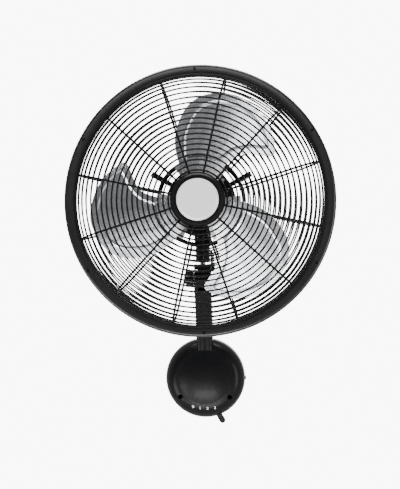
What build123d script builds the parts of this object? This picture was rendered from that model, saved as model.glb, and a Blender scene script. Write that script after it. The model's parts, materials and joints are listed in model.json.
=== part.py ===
from build123d import *

# Oscillating wall fan with a round wall base, a slanting arm, a tilting head,
# a round wire guard and three riveted sheet blades.
#
# Row frame in millimetres: the origin is the middle of the wall plate's back
# face, the wall is the plane y = 0, the front of the fan looks along -Y and
# +Z is up. The fan turns about an axis along Y at the height FAN_Z.

import os
from math import asin, atan2, cos, degrees, hypot, pi, radians, sin, sqrt, tan

# ---------------------------------------------------------------- layout
FAN_Z = 390.0          # height of the fan axis over the wall plate's middle
RIM_Y = -265.0         # plane in which the front and rear guards meet
PIVOT_Y = -135.0       # vertical swing axis of the head
TILT_Z = 228.0         # height of the tilt bolt, straight under the swing axis
SEAT_GAP = 0.05        # gap between pieces that are seated, welded or clamped
RUN_GAP = 0.05         # radial running clearance of turned fits
SIDE_GAP = 0.3         # side clearance between moving pieces
PRESS_GAP = 0.02       # radial gap of pressed and threaded fits
SCREW_ROOM = 0.2       # radial room round a screw in a clearance hole
SCREW_END_Y = -0.3     # where screws end, just short of the wall
CUT = 1.0              # how far a cutter runs past the face that it cuts

# ---------------------------------------------------------------- wall base
BASE_R = 90.0
BASE_SKIRT = 13.0      # straight part of the base cover's side
BASE_DEPTH = 50.0
BASE_SHOULDER = 30.0   # radius of the rounded shoulder
BASE_WALL = 2.5
PLATE_T = 3.0
PLATE_GAP = 0.6        # gap between the wall plate's edge and the base cover
WALL_BOLT_DX = 88.0
WALL_BOLT_DZ = 114.0
WALL_BOLT_MID_Z = -5.0
WALL_BOLT_R = 3.25
COVER_SCREW_X = 55.5
COVER_SCREW_Z = -40.5
COVER_SCREW_R = 2.0
COVER_SCREW_HEAD_R = 4.2
COVER_SCREW_HEAD_T = 2.6
COVER_BORE_R = 5.5     # sunk hole over each cover screw
COVER_BORE_Y = -20.0   # floor of the sunk hole
COVER_BOSS_WALL = 2.0
DRIVE_SLOT_W = 1.2
DRIVE_SLOT_D = 1.2

# ---------------------------------------------------------------- speed switch
LEVER_Z = -31.0        # height of the switch spindle
LEVER_L = 82.0
LEVER_W = 13.5
LEVER_T = 4.0
LEVER_Y = -19.0        # middle of the lever's thickness
LEVER_REST_DEG = 31.0  # from straight down towards +X, setting 3
LEVER_FIRST_DEG = -41.0
LEVER_HUB_R = 9.0
LEVER_WAIST_W = 10.0
LEVER_BOSS_R = 6.3
LEVER_BOSS_T = 2.5
GRIP_GROOVES = 3
GRIP_PITCH = 3.2
GRIP_W = 1.0
GRIP_D = 0.6
SLOT_GAP = 1.2         # room round the lever in the base's slot
SPINDLE_R = 3.0
SPINDLE_SEAT = 4.0     # depth of switch body behind the spindle's bore
SPINDLE_PROUD = 3.0
SWITCH_CORNER = 2.5
SWITCH_W = 30.0
SWITCH_T = 11.0
CAPACITOR_R = 11.0
CAPACITOR_L = 46.0
CAPACITOR_X = -58.0
CAPACITOR_CORNER = 1.5
STRAP_T = 1.0
STRAP_W = 12.0
STRAP_TAB = 6.0        # length of the strap's screw tab
TERMINAL_X = 56.0
TERMINAL_W = 18.0
TERMINAL_H = 34.0
TERMINAL_T = 14.0
TERMINAL_POLES = 4
TERMINAL_WELL_R = 2.7
TERMINAL_WELL_D = 5.0
GROMMET_R = 4.5
GROMMET_BORE_R = 3.3
GROMMET_Y = -9.6
GROMMET_PROUD = 2.2
GROMMET_TAIL = 3.0     # length inside the base's wall
GROMMET_FLANGE = 1.5   # height and thickness of its inner flange
GROMMET_FLANGE_GAP = 0.7

# ---------------------------------------------------------------- arm
ARM_W = 37.0
ARM_D = 34.0
ARM_WALL = 3.5
ARM_CORNER = 6.0
ARM_FOOT_Y = -26.0     # a point on the arm's middle line, inside the base
ARM_FOOT_Z = 69.5
FLUTE_X = 6.2
FLUTE_W = 4.2
FLUTE_D = 1.6
ARM_TOP = 2.0          # where the arm's column begins, below the fork's round
ARM_SOLID = 10.0       # solid top of the column
ARM_FLUTE_AT = 14.0    # where the flutes begin
ARM_OVERRUN = 60.0     # length of the column before it is cut off at the wall plate
FOOT_W = 74.0
FOOT_T = 4.5
FOOT_GAP = 1.5         # room between the foot and the base cover
FOOT_BOTTOM_Z = -13.0
FOOT_TOP_Z = 70.0
FOOT_BOLT_X = 28.5
FOOT_BOLT_Z = (-3.0, 60.0)
FOOT_BOLT_R = 3.0
BOLT_HEAD_R = 5.2
BOLT_HEAD_T = 4.0
ARM_LID_T = 2.0
ARM_POST_R = 4.5
ARM_SCREW_R = 1.6
ARM_SCREW_L = 9.0
ARM_SCREW_HEAD_T = 1.8
ARM_SCREW_AT = (40.0, 84.0, 128.0)   # along the arm, from the tilt bolt

# ---------------------------------------------------------------- tilt joint
CHEEK_R = 18.0
CHEEK_T = 8.5
TONGUE_GAP = 0.1
TILT_BOLT_R = 4.0
TILT_BOLT_PROUD = 2.0  # thread past the nut
TILT_WASHER_R = 9.0
TILT_WASHER_T = 1.2
TILT_NUT_R = 7.5
TILT_NUT_T = 6.0
KNOB_R = 18.0
KNOB_L = 20.0
KNOB_RIBS = 18
KNOB_RIB_R = 1.5
BLOCK_D = 36.0
BLOCK_BOTTOM_Z = 248.0
BLOCK_TOP_Z = 259.5
BLOCK_CORNER = 6.0
TONGUE_R = 17.5
TONGUE_D = 32.4        # depth of the tongue where it meets the block
EAR_WALL = 1.5         # wall round the link's post
POST_SEAT = 2.0        # floor under the link's post
KNOB_STEP = 4.0        # how far the knob's hub stands out of its ribbed part
KNOB_HUB_R = 11.2
KNOB_BORE_FLOOR = 3.8

# ---------------------------------------------------------------- swing joint
NECK_R = 15.5
NECK_BOTTOM_Z = 263.6
NECK_BLOCK_Z = 300.0
NECK_BLOCK_X = 34.0
NECK_BLOCK_Y = 40.0
SHAFT_R = 6.0
SHAFT_FOOT_Z = 238.0
BUSH_WALL = 2.0
BUSH_TOP_Z = 305.0
CLIP_R = 9.0
CLIP_T = 1.2
CLIP_GROOVE = 1.0
CLIP_GROOVE_PLAY = 0.1
CLIP_MOUTH = 6.0
CLIP_ROOM = 0.6        # room round the clip in the neck
CLIP_POCKET_H = 6.0
SHAFT_TIP = 3.0        # shaft above the clip
SADDLE_RISE = 12.0     # how far the saddle's block reaches up the motor's barrel
SADDLE_CORNER = 5.0

# ---------------------------------------------------------------- motor
MOTOR_R = 72.5
MOTOR_FRONT_Y = -215.0
MOTOR_SPLIT_Y = -172.0
MOTOR_REAR_Y = -128.0
MOTOR_WALL = 3.0
MOTOR_CORNER = 9.0
MOTOR_VENTS = 12
VENT_FIRST_DEG = 15.0
VENT_HALF = 3.2        # half the width of a vent slot
VENT_FROM_R = 26.0
VENT_TO_R = 50.0
VENT_CUT = 6.0
BEARING_R = 14.0
BEARING_T = 8.0
BEARING_SEAT_WALL = 3.0
BEARING_LIP = 2.0      # wall left outside each bearing
FRONT_SEAT_PROUD = 5.0
MOTOR_SHAFT_R = 5.0
SHAFT_ROOM = 1.0       # room round the shaft in the housing
TAIL_R = 3.5           # thinner tail that carries the worm
STATOR_R = 68.0
STATOR_BORE_R = 32.0
STATOR_T = 40.0
COIL_R = 60.0
COIL_BORE_R = 36.0
COIL_T = 11.0
AIR_GAP = 0.5
THROUGH_BOLT_R = 2.0
THROUGH_BOLT_AT = 64.0
THROUGH_BOLTS = 4
THROUGH_BOLT_HEAD_R = 3.6
THROUGH_BOLT_HEAD_T = 2.0

# ---------------------------------------------------------------- swing gear
CRANK_Y = -90.0        # vertical axis of the crank, under the gear case
WHEEL_X = -19.0        # vertical axis of the worm wheel
WORM_R = 5.6
WORM_ROOT_R = 4.4
WORM_L = 24.0
WORM_TURNS = 9
WHEEL_TEETH = 40
PINION_TEETH = 10
WHEEL_T = 8.0
GEAR_T = 6.0
GEAR_BACKLASH = 0.1
WORM_TOOTH_H = 1.6     # height of the worm wheel's and the crank gear's teeth
PINION_TOOTH_H = 1.3
TOOTH_ROOT_SHARE = 0.54   # tooth thickness at the root, as a share of the pitch
TOOTH_TIP_SHARE = 0.30
TOOTH_SUNK = 0.5       # how far a tooth is sunk into the wheel's body
WORM_ROOT_SHARE = 0.24    # width of the worm's groove at its root, as a share of the pitch
WORM_TIP_SHARE = 0.84
GEAR_Z = 369.0         # middle of the pinion and of the crank gear
CRANK_RUNG = 14.65     # crank radius
CRANK_T = 4.0
CRANK_W = 11.0
CRANK_LINK_GAP = 4.0   # room between the crank arm and the link below it
CRANK_Z = 288.0
CRANK_REST_DEG = 21.2
CRANK_SHAFT_R = 4.0
CRANK_PIN_R = 3.0
SLEEVE_R = 8.0
POST_X = 19.9          # fixed post of the link, from the swing axis
POST_DY = 11.5
POST_R = 2.5
POST_COLLAR_R = 4.0
POST_HEAD_T = 2.7
PIN_ROOM = 0.2         # room round the crank pin's place in the link
LINK_T = 4.0
LINK_W = 9.0
OPEN_PIVOT_GAP = 0.5   # under the crank pin, where the linkage is opened
CASE_WALL = 3.0
CASE_CORNER = 5.0
CASE_LEFT_CUT = 2.0    # how much narrower the case is behind the worm wheel
CASE_FLOOR_GAP = 1.5   # room under the lower gears
CASE_HEAD_GAP = 7.0    # room over the worm wheel, for the pulled rod
CASE_MOTOR_GAP = 2.1   # between the case and the motor's rear face
CASE_SHAFT_ROOM = 2.2
KNOB_ROD_R = 2.5
PULL_KNOB_R = 7.0
PULL_KNOB_T = 13.0
PULL_KNOB_ROUND = 1.8
KNOB_PIN_R = 2.0
KNOB_SUNK = 0.5        # how far the pull knob's underside is below the cover's crown
REAR_COVER_R = 60.0
REAR_COVER_Y = -58.0
REAR_COVER_WALL = 2.2
COVER_SHOULDER = 26.0  # radius of the cover's rounded shoulder
COVER_SLEEVE_ROOM = 0.6
COVER_ROD_ROOM = 0.5
LOUVRES = 7
LOUVRE_PITCH = 7.0
LOUVRE_L = 44.0
LOUVRE_W = 2.4
LOUVRE_CUT = 8.0

# ---------------------------------------------------------------- guard
GUARD_R = 275.0        # outside of the rim band
RIM_DEPTH = 20.0       # from the rim band's outside to the edge of its two lips
RIM_WALL = 1.6
RIM_ROUND = 6.0
RIM_SCREWS = 6
RIM_SCREW_FIRST_DEG = 32.0
RIM_SCREW_INSET = 9.0
RIM_SCREW_R = 1.6
RIM_SCREW_HEAD_R = 3.0
RIM_SCREW_HEAD_T = 1.6
SPOKES = 12
SPOKE_FIRST_DEG = 18.0
SPOKE_W = 3.8
RING_W = 3.0
EDGE_W = 7.0           # heavy wire round each guard's mouth
SPOKE_END_DEPTH = 1.2  # where a spoke ends, ahead of the rim plane
RIM_WIDTH = 2 * (EDGE_W + 2 * SEAT_GAP + RIM_WALL)
RIM_LIP_R = GUARD_R - RIM_DEPTH
RIM_SCREW_AT = GUARD_R - RIM_SCREW_INSET
RIM_MOUTH = 2.0        # width of the cut between the band's lips
LAST_RING_GAP = 1.0    # between the rim band and the nearest ring
GUARD_DEPTH = 62.0     # wire middle of the flat face ahead of the rim plane
GUARD_CONE_DEG = 1.2   # fall of the flat face towards its edge
GUARD_BEND_R = 56.0
GUARD_BEND_END_DEG = 76.0
GUARD_BEND_INSET = 25.5   # from the rim band's outside to the end of the wires' bend
GUARD_BEND_END_R = GUARD_R - GUARD_BEND_INSET
RING_PITCH = 10.0
LENGTH_STEP = 0.25     # step in which a length along the wire is found
FRONT_RING_FIRST_R = 58.0
REAR_RING_FIRST_R = 92.0
SPOKE_INNER_R = 40.0
REAR_SPOKE_INNER_R = 84.0
CENTRE_PLATE_R = 50.0
CENTRE_PLATE_T = 1.5
CAP_R = 54.0
CAP_DEPTH = 12.5
CAP_WALL = 2.0
BADGE_R = 41.5
BADGE_T = 1.5
CAP_SCREW_AT = 26.0
CAP_SCREW_R = 1.5
CAP_SCREWS = 3
CAP_SCREW_FIRST_DEG = 90.0
CAP_SCREW_HEAD_T = 1.6
CAP_BOSS_R = 4.0
BADGE_SEAT = 3.0       # depth of the disc's seat behind the cap's front edge
BADGE_GAP = 0.3
BADGE_CHAMFER = 0.8
BADGE_DOME = 1.0
CAP_EDGE_FALL = 3.0    # fall and width of the cap's sloping edge
CAP_EDGE_W = 2.5
CAP_SIDE_FALL = 7.0
SPIDER_REACH = 112.0
SPIDER_ARM_W = 10.0
SPIDER_T = 2.5
SPIDER_ARMS = 3
SPIDER_FIRST_DEG = 30.0
SPIDER_SCREW_AT = 107.0
SPIDER_MOTOR_SCREW_AT = 40.0
SPIDER_DISC_R = 49.0
SPIDER_BORE_GAP = 1.0
SPACER_R = 4.5
MOTOR_SCREW_HEAD_R = 4.0
MOTOR_SCREW_HEAD_T = 2.4
CLAMP_L = 26.0
CLAMP_T = 2.0
CLAMP_SCREW_R = 2.0
CLAMP_W = 12.0
CLAMP_HEAD_R = 3.8
CLAMP_HEAD_T = 2.2
CLAMP_NUT_T = 3.0
CLAMP_SCREW_END = 4.0  # length of thread past the clamp

# ---------------------------------------------------------------- blades
BLADES = 3
BLADE_TIP_R = 226.0
BLADE_T = 1.5
BLADE_MID_Y = -268.0   # depth of the sheet on the blade's middle line
BLADE_PITCH_DEG = 17.0
BLADE_CURVE_R = 620.0  # bend radius of the sheet
BLADE_HALF_CHORD = 190.0
BLADE_ROOT_R = 60.0
BLADE_MID_DEG = 75.0   # direction of the top blade's middle line
PANEL_RAISE = 1.6      # how far the panel stands ahead of the blade's margin
# Knots of the blade's edge and of its panel: the share of the way from the root to the tip's
# radius, and the angle from the middle line.
BLADE_EDGE = ((0.0, -19.0), (0.193, -21.0), (0.380, -25.4), (0.524, -34.7), (0.633, -40.9),
              (0.705, -42.6), (0.765, -39.8), (0.867, -30.8), (0.952, -19.5), (1.0, -7.0),
              (0.970, 3.0), (0.910, 13.0), (0.771, 22.9), (0.518, 33.5), (0.271, 41.0), (0.0, 46.6))
BLADE_PANEL = ((0.169, -12.0), (0.265, -15.5), (0.386, -19.5), (0.518, -27.0), (0.620, -33.5),
               (0.699, -36.6), (0.747, -34.6), (0.819, -27.2), (0.880, -18.0), (0.916, -7.0),
               (0.892, 1.5), (0.837, 10.0), (0.723, 18.0), (0.488, 27.5), (0.265, 33.5), (0.169, 35.5))
HUB_R = 23.0
HUB_FRONT_Y = -292.0
HUB_REAR_Y = -236.0
HUB_PLATE_R = 84.0
HUB_PLATE_T = 2.0
HUB_PLATE_FROM_DEG = -26.0
HUB_PLATE_TO_DEG = 52.0
HUB_NUT_R = 11.0
HUB_NUT_T = 7.0
SHAFT_PROUD = 2.0      # shaft past the hub nut
RIVET_R = 2.4
RIVET_HEAD_R = 5.5
RIVET_HEAD_T = 1.8
RIVET_CUT = 24.0
RIVET_CHAMFER = 0.6
RIVET_TAIL_R = 4.4
RIVET_AT = ((77.0, 12.0), (73.0, -15.0), (67.0, 40.7))   # radius, degrees from the middle line

FAN_AXIS = Axis((0, 0, FAN_Z), (0, 1, 0))
FACING = Plane((0, 0, FAN_Z), x_dir=(1, 0, 0), z_dir=(0, 0, 1))   # x is the radius, y the depth


# ---------------------------------------------------------------- helpers
def rod_x(radius, x0, x1, y=0.0, z=0.0):
    return Pos((x0 + x1) / 2, y, z) * Rot(0, 90, 0) * Cylinder(radius, abs(x1 - x0))


def rod_y(radius, y0, y1, x=0.0, z=FAN_Z):
    return Pos(x, (y0 + y1) / 2, z) * Rot(90, 0, 0) * Cylinder(radius, abs(y1 - y0))


def rod_z(radius, z0, z1, x=0.0, y=PIVOT_Y):
    return Pos(x, y, (z0 + z1) / 2) * Cylinder(radius, abs(z1 - z0))


def block(x0, x1, y0, y1, z0, z1):
    return Pos((x0 + x1) / 2, (y0 + y1) / 2, (z0 + z1) / 2) * Box(abs(x1 - x0), abs(y1 - y0), abs(z1 - z0))


def outline(*points):
    return make_face(Polyline(*points, close=True))


def turned(profile):
    """A profile of radius and depth, turned about the fan axis."""
    return revolve(FACING * profile, FAN_AXIS)


def about_fan(shape, degrees_round):
    """A copy of a shape, turned anticlockwise about the fan axis as seen from the front."""
    return shape.rotate(FAN_AXIS, -degrees_round)


def around_fan(shape, count, first=0.0):
    return [about_fan(shape, first + 360 * k / count) for k in range(count)]


def side_view(x0, x1, *faces):
    """Faces drawn in depth and height, extruded from x0 to x1."""
    plane = Plane((x0, 0, 0), x_dir=(0, 1, 0), z_dir=(1, 0, 0))
    body = None
    for face in faces:
        piece = extrude(plane * face, x1 - x0)
        body = piece if body is None else body + piece
    return body


def write(name, *solids):
    shape = solids[0] if len(solids) == 1 else Compound(children=list(solids))
    export_step(shape, f"parts/{name}.step")


# ---------------------------------------------------------------- wall base
def base_profile(wall):
    """Half section of the base cover's outside, drawn inwards by wall."""
    radius = BASE_R - wall
    shoulder = BASE_SHOULDER - wall
    front = -(BASE_SKIRT + BASE_SHOULDER) + wall
    corner = (radius - shoulder, front)
    skirt_end = (radius, front + shoulder)
    middle = (radius - shoulder * (1 - sin(pi / 4)), front + shoulder * (1 - sin(pi / 4)))
    crown = (0, -BASE_DEPTH + wall)
    rise = front - crown[1]
    crown_r = (corner[0] ** 2 + rise ** 2) / (2 * rise)
    half_way = corner[0] / 2
    crown_mid = (half_way, crown[1] + crown_r - sqrt(crown_r ** 2 - half_way ** 2))
    lines = [
        Line((0, 0), (radius, 0)),
        Line((radius, 0), skirt_end),
        ThreePointArc(skirt_end, middle, corner),
        ThreePointArc(corner, crown_mid, crown),
        Line(crown, (0, 0)),
    ]
    return make_face(Curve() + lines)


def base_solid(wall):
    plane = Plane((0, 0, 0), x_dir=(1, 0, 0), z_dir=(0, 0, 1))
    return revolve(plane * base_profile(wall), Axis((0, 0, 0), (0, 1, 0)))


def lever_fan(radius, half_width, y0, y1):
    """The space swept by the speed lever between its first and last setting."""
    start = radians(LEVER_FIRST_DEG)
    end = radians(LEVER_REST_DEG)
    spread = asin(half_width / (BASE_R + LEVER_Z - 2 * BASE_WALL))

    def at(angle):
        return radius * sin(angle), LEVER_Z - radius * cos(angle)

    low = at(start - spread)
    mid = at((start + end) / 2)
    high = at(end + spread)
    pivot = (0, LEVER_Z)
    face = make_face(Curve() + [Line(pivot, low), ThreePointArc(low, mid, high), Line(high, pivot)])
    plane = Plane((0, y0, 0), x_dir=(1, 0, 0), z_dir=(0, -1, 0))
    return extrude(plane * face, y0 - y1)


def base_cover():
    cover = base_solid(0) - base_solid(BASE_WALL)
    plate_front = -PLATE_T - SEAT_GAP
    for side in (-1, 1):
        x = side * COVER_SCREW_X
        boss_r = COVER_BORE_R + COVER_BOSS_WALL
        boss = rod_y(boss_r, plate_front, -BASE_DEPTH, x, COVER_SCREW_Z) & base_solid(BASE_WALL / 2)
        cover = cover + boss
        cover = cover - rod_y(COVER_BORE_R, COVER_BORE_Y, -BASE_DEPTH, x, COVER_SCREW_Z)
        cover = cover - rod_y(COVER_SCREW_R + SCREW_ROOM, 0, -BASE_DEPTH, x, COVER_SCREW_Z)
    cover = cover - arm_outside(SIDE_GAP)
    slot_half = LEVER_T / 2 + SLOT_GAP
    slot_half_w = LEVER_W / 2 + SLOT_GAP
    cover = cover - lever_fan(BASE_R + LEVER_L, slot_half_w, LEVER_Y + slot_half, LEVER_Y - slot_half)
    cover = cover - rod_x(GROMMET_R, 0, BASE_R + 1, GROMMET_Y, 0)
    return cover


def cover_screws():
    screws = []
    for side in (-1, 1):
        x = side * COVER_SCREW_X
        head_y = COVER_BORE_Y - SEAT_GAP
        head = rod_y(COVER_SCREW_HEAD_R, head_y, head_y - COVER_SCREW_HEAD_T, x, COVER_SCREW_Z)
        top = head_y - COVER_SCREW_HEAD_T
        slot = block(x - DRIVE_SLOT_W / 2, x + DRIVE_SLOT_W / 2, top, top + DRIVE_SLOT_D,
                     COVER_SCREW_Z - COVER_SCREW_HEAD_R, COVER_SCREW_Z + COVER_SCREW_HEAD_R)
        screws.append(head + rod_y(COVER_SCREW_R, SCREW_END_Y, head_y, x, COVER_SCREW_Z) - slot)
    return screws


def foot_bolt_places():
    return [(side * FOOT_BOLT_X, z) for side in (-1, 1) for z in FOOT_BOLT_Z]


def wall_plate():
    plate = rod_y(BASE_R - BASE_WALL - PLATE_GAP, 0, -PLATE_T, 0, 0)
    for x_side in (-1, 1):
        for z_side in (-1, 1):
            z = WALL_BOLT_MID_Z + z_side * WALL_BOLT_DZ / 2
            plate = plate - rod_y(WALL_BOLT_R, CUT, -PLATE_T - CUT, x_side * WALL_BOLT_DX / 2, z)
        x = x_side * COVER_SCREW_X
        plate = plate - rod_y(COVER_SCREW_R + RUN_GAP, CUT, -PLATE_T - CUT, x, COVER_SCREW_Z)
    for x, z in foot_bolt_places():
        plate = plate - rod_y(FOOT_BOLT_R + RUN_GAP, CUT, -PLATE_T - CUT, x, z)
    return plate


def foot_bolts():
    bolts = []
    for x, z in foot_bolt_places():
        head_y = -PLATE_T - FOOT_T - 2 * SEAT_GAP
        hexagon = Plane((x, head_y, z), x_dir=(1, 0, 0), z_dir=(0, -1, 0)) * RegularPolygon(BOLT_HEAD_R, 6)
        bolts.append(extrude(hexagon, BOLT_HEAD_T) + rod_y(FOOT_BOLT_R, SCREW_END_Y, head_y, x, z))
    return bolts


# ---------------------------------------------------------------- speed switch
def switch_body():
    back = -PLATE_T - SEAT_GAP
    half = SWITCH_W / 2
    body = block(-half, half, back, back - SWITCH_T, LEVER_Z - half, LEVER_Z + half)
    body = fillet(body.edges().filter_by(Axis.Y), SWITCH_CORNER)
    return body - rod_y(SPINDLE_R + RUN_GAP, back - SPINDLE_SEAT, -BASE_DEPTH, 0, LEVER_Z)


def switch_spindle():
    back = -PLATE_T - SEAT_GAP - SPINDLE_SEAT - SIDE_GAP
    return rod_y(SPINDLE_R, back, LEVER_Y - LEVER_T / 2 - SPINDLE_PROUD, 0, LEVER_Z)


def speed_lever():
    """A flat lever with a round tip, drawn straight down and then turned to its rest setting."""
    plane = Plane((0, LEVER_Y + LEVER_T / 2, LEVER_Z), x_dir=(1, 0, 0), z_dir=(0, -1, 0))
    tip = LEVER_L - LEVER_W / 2
    waist = LEVER_WAIST_W / 2
    shank = outline((-waist, 0), (waist, 0), (LEVER_W / 2, -tip), (-LEVER_W / 2, -tip))
    face = shank + Pos(0, -tip) * Circle(LEVER_W / 2) + Circle(LEVER_HUB_R)
    lever = extrude(plane * face, LEVER_T)
    lever = lever + rod_y(LEVER_BOSS_R, LEVER_Y, LEVER_Y - LEVER_T / 2 - LEVER_BOSS_T, 0, LEVER_Z)
    lever = lever - rod_y(SPINDLE_R + PRESS_GAP, 0, -BASE_DEPTH, 0, LEVER_Z)
    grip_y = LEVER_Y - LEVER_T / 2
    for step in range(GRIP_GROOVES):
        z = LEVER_Z - tip + step * GRIP_PITCH
        groove = block(-LEVER_W / 2, LEVER_W / 2, grip_y, grip_y + GRIP_D, z - GRIP_W / 2, z + GRIP_W / 2)
        lever = lever - groove
    return lever.rotate(Axis((0, 0, LEVER_Z), (0, 1, 0)), -LEVER_REST_DEG)


def capacitor():
    y = -PLATE_T - SEAT_GAP - STRAP_T - CAPACITOR_R
    can = rod_z(CAPACITOR_R, -CAPACITOR_L / 2, CAPACITOR_L / 2, CAPACITOR_X, y)
    return fillet(can.edges(), CAPACITOR_CORNER)


def capacitor_strap():
    y = -PLATE_T - SEAT_GAP - STRAP_T - CAPACITOR_R
    outer = CAPACITOR_R + SEAT_GAP + STRAP_T
    half = STRAP_W / 2
    band = rod_z(outer, -half, half, CAPACITOR_X, y)
    left, right = CAPACITOR_X - outer, CAPACITOR_X + outer + STRAP_TAB
    foot = block(left, right, y + outer, y + CAPACITOR_R + SEAT_GAP, -half, half)
    strap = band + foot
    return strap - rod_z(CAPACITOR_R + SEAT_GAP, -half - 1, half + 1, CAPACITOR_X, y)


def terminal_block():
    back = -PLATE_T - SEAT_GAP
    half = TERMINAL_H / 2
    left, right = TERMINAL_X - TERMINAL_W / 2, TERMINAL_X + TERMINAL_W / 2
    front = back - TERMINAL_T
    body = block(left, right, back, front, -half, half)
    pitch = TERMINAL_H / TERMINAL_POLES
    for k in range(TERMINAL_POLES):
        z = -half + pitch * (k + 0.5)
        body = body - rod_y(TERMINAL_WELL_R, front + TERMINAL_WELL_D, front - CUT, TERMINAL_X, z)
    return body


def cable_grommet():
    wall = BASE_R - BASE_WALL
    inside = wall - GROMMET_TAIL
    flange_end = wall - GROMMET_FLANGE_GAP
    body = rod_x(GROMMET_R - SEAT_GAP, inside, BASE_R + GROMMET_PROUD, GROMMET_Y, 0)
    flange = rod_x(GROMMET_R + GROMMET_FLANGE, flange_end - GROMMET_FLANGE, flange_end, GROMMET_Y, 0)
    return body + flange - rod_x(GROMMET_BORE_R, inside - CUT, BASE_R + GROMMET_PROUD + CUT, GROMMET_Y, 0)


# ---------------------------------------------------------------- arm
def arm_direction():
    along = Vector(0, PIVOT_Y - ARM_FOOT_Y, TILT_Z - ARM_FOOT_Z)
    return along.normalized()


def arm_plane():
    """The arm's cross section at the tilt bolt: x across, y towards the arm's rear, z down the arm."""
    return Plane((0, PIVOT_Y, TILT_Z), x_dir=(-1, 0, 0), z_dir=-arm_direction())


def arm_length():
    return (Vector(0, PIVOT_Y, TILT_Z) - Vector(0, ARM_FOOT_Y, ARM_FOOT_Z)).length + ARM_OVERRUN


def arm_bar(width, depth, corner, start, length):
    face = RectangleRounded(width, depth, corner) if corner > 0 else Rectangle(width, depth)
    return extrude(arm_plane() * Pos(0, 0, start) * face, length)


def arm_outside(gap):
    return arm_bar(ARM_W + 2 * gap, ARM_D + 2 * gap, ARM_CORNER + gap, CHEEK_R + ARM_TOP, arm_length())


def arm():
    column = arm_outside(0)
    cavity_w = ARM_W - 2 * ARM_WALL
    cavity = Pos(0, ARM_WALL, CHEEK_R + ARM_SOLID) * Rectangle(cavity_w, ARM_D)
    column = column - extrude(arm_plane() * cavity, arm_length())
    for side in (-1, 1):
        groove = Pos(side * FLUTE_X, -ARM_D / 2, CHEEK_R + ARM_FLUTE_AT) * Rectangle(FLUTE_W, 2 * FLUTE_D)
        column = column - extrude(arm_plane() * groove, arm_length())
    post_top = ARM_D / 2 - ARM_LID_T - SEAT_GAP
    for reach in ARM_SCREW_AT:
        post = arm_cross_rod(ARM_POST_R, reach, -ARM_D / 2 + ARM_WALL / 2, post_top)
        bore = arm_cross_rod(ARM_SCREW_R + PRESS_GAP, reach, post_top - ARM_SCREW_L, post_top)
        column = column + post - bore
    column = column & ahead_of(-PLATE_T - SEAT_GAP)
    foot_front = -PLATE_T - SEAT_GAP - FOOT_T
    foot = block(-FOOT_W / 2, FOOT_W / 2, -PLATE_T - SEAT_GAP, foot_front, FOOT_BOTTOM_Z, FOOT_TOP_Z)
    foot = foot & rod_y(BASE_R - BASE_WALL - FOOT_GAP, 0, foot_front - CUT, 0, 0)
    body = column + foot + arm_cheeks()
    for x, z in foot_bolt_places():
        body = body - rod_y(FOOT_BOLT_R + SIDE_GAP, 0, foot_front - 1, x, z)
    return body


def ahead_of(y):
    """Everything of the arm that lies ahead of a depth."""
    return block(-ARM_W, ARM_W, y, PIVOT_Y - ARM_D - CHEEK_R, -BASE_R, TILT_Z + ARM_D + CHEEK_R)


def arm_cross_rod(radius, reach, from_rear, to_rear):
    """A rod through the arm's depth, at a distance down the arm from the tilt bolt."""
    plane = arm_plane()
    middle = plane.origin + plane.z_dir * reach + plane.y_dir * (from_rear + to_rear) / 2
    place = Plane(middle, x_dir=(1, 0, 0), z_dir=plane.y_dir)
    return place * Cylinder(radius, abs(to_rear - from_rear))


def arm_cheeks():
    """The fork at the arm's top, round about the tilt bolt."""
    down = -arm_direction()
    across = Vector(0, -down.Z, down.Y)
    half = ARM_D / 2

    def at(along, aside):
        point = Vector(0, PIVOT_Y, TILT_Z) + down * along + across * aside
        return point.Y, point.Z

    stem = outline(at(0, -half), at(0, half), at(CHEEK_R + ARM_SOLID, half), at(CHEEK_R + ARM_SOLID, -half))
    cheeks = None
    for side in (-1, 1):
        x1 = side * ARM_W / 2
        x0 = side * (ARM_W / 2 - CHEEK_T)
        low, high = min(x0, x1), max(x0, x1)
        cheek = side_view(low, high, Pos(PIVOT_Y, TILT_Z) * Circle(CHEEK_R), stem)
        cheek = cheek - rod_x(TILT_BOLT_R + RUN_GAP, -ARM_W, ARM_W, PIVOT_Y, TILT_Z)
        cheeks = cheek if cheeks is None else cheeks + cheek
    return cheeks


def arm_lid():
    width = ARM_W - 2 * ARM_WALL - 2 * SEAT_GAP
    face = Pos(0, ARM_D / 2 - ARM_LID_T / 2, CHEEK_R + ARM_SOLID + CUT) * Rectangle(width, ARM_LID_T)
    lid = extrude(arm_plane() * face, arm_length())
    for reach in ARM_SCREW_AT:
        hole_start, hole_end = ARM_D / 2 - ARM_LID_T - CUT, ARM_D / 2 + CUT
        lid = lid - arm_cross_rod(ARM_SCREW_R + SCREW_ROOM, reach, hole_start, hole_end)
    foot_front = -PLATE_T - SEAT_GAP - FOOT_T - SIDE_GAP
    return lid & arm_outside(0) & ahead_of(foot_front)


def arm_lid_screws():
    screws = []
    for reach in ARM_SCREW_AT:
        seat = ARM_D / 2 + SEAT_GAP
        shank = arm_cross_rod(ARM_SCREW_R, reach, seat - ARM_SCREW_L, seat)
        head = arm_cross_rod(ARM_SCREW_R * 2, reach, seat, seat + ARM_SCREW_HEAD_T)
        screws.append(shank + head)
    return screws


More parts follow.
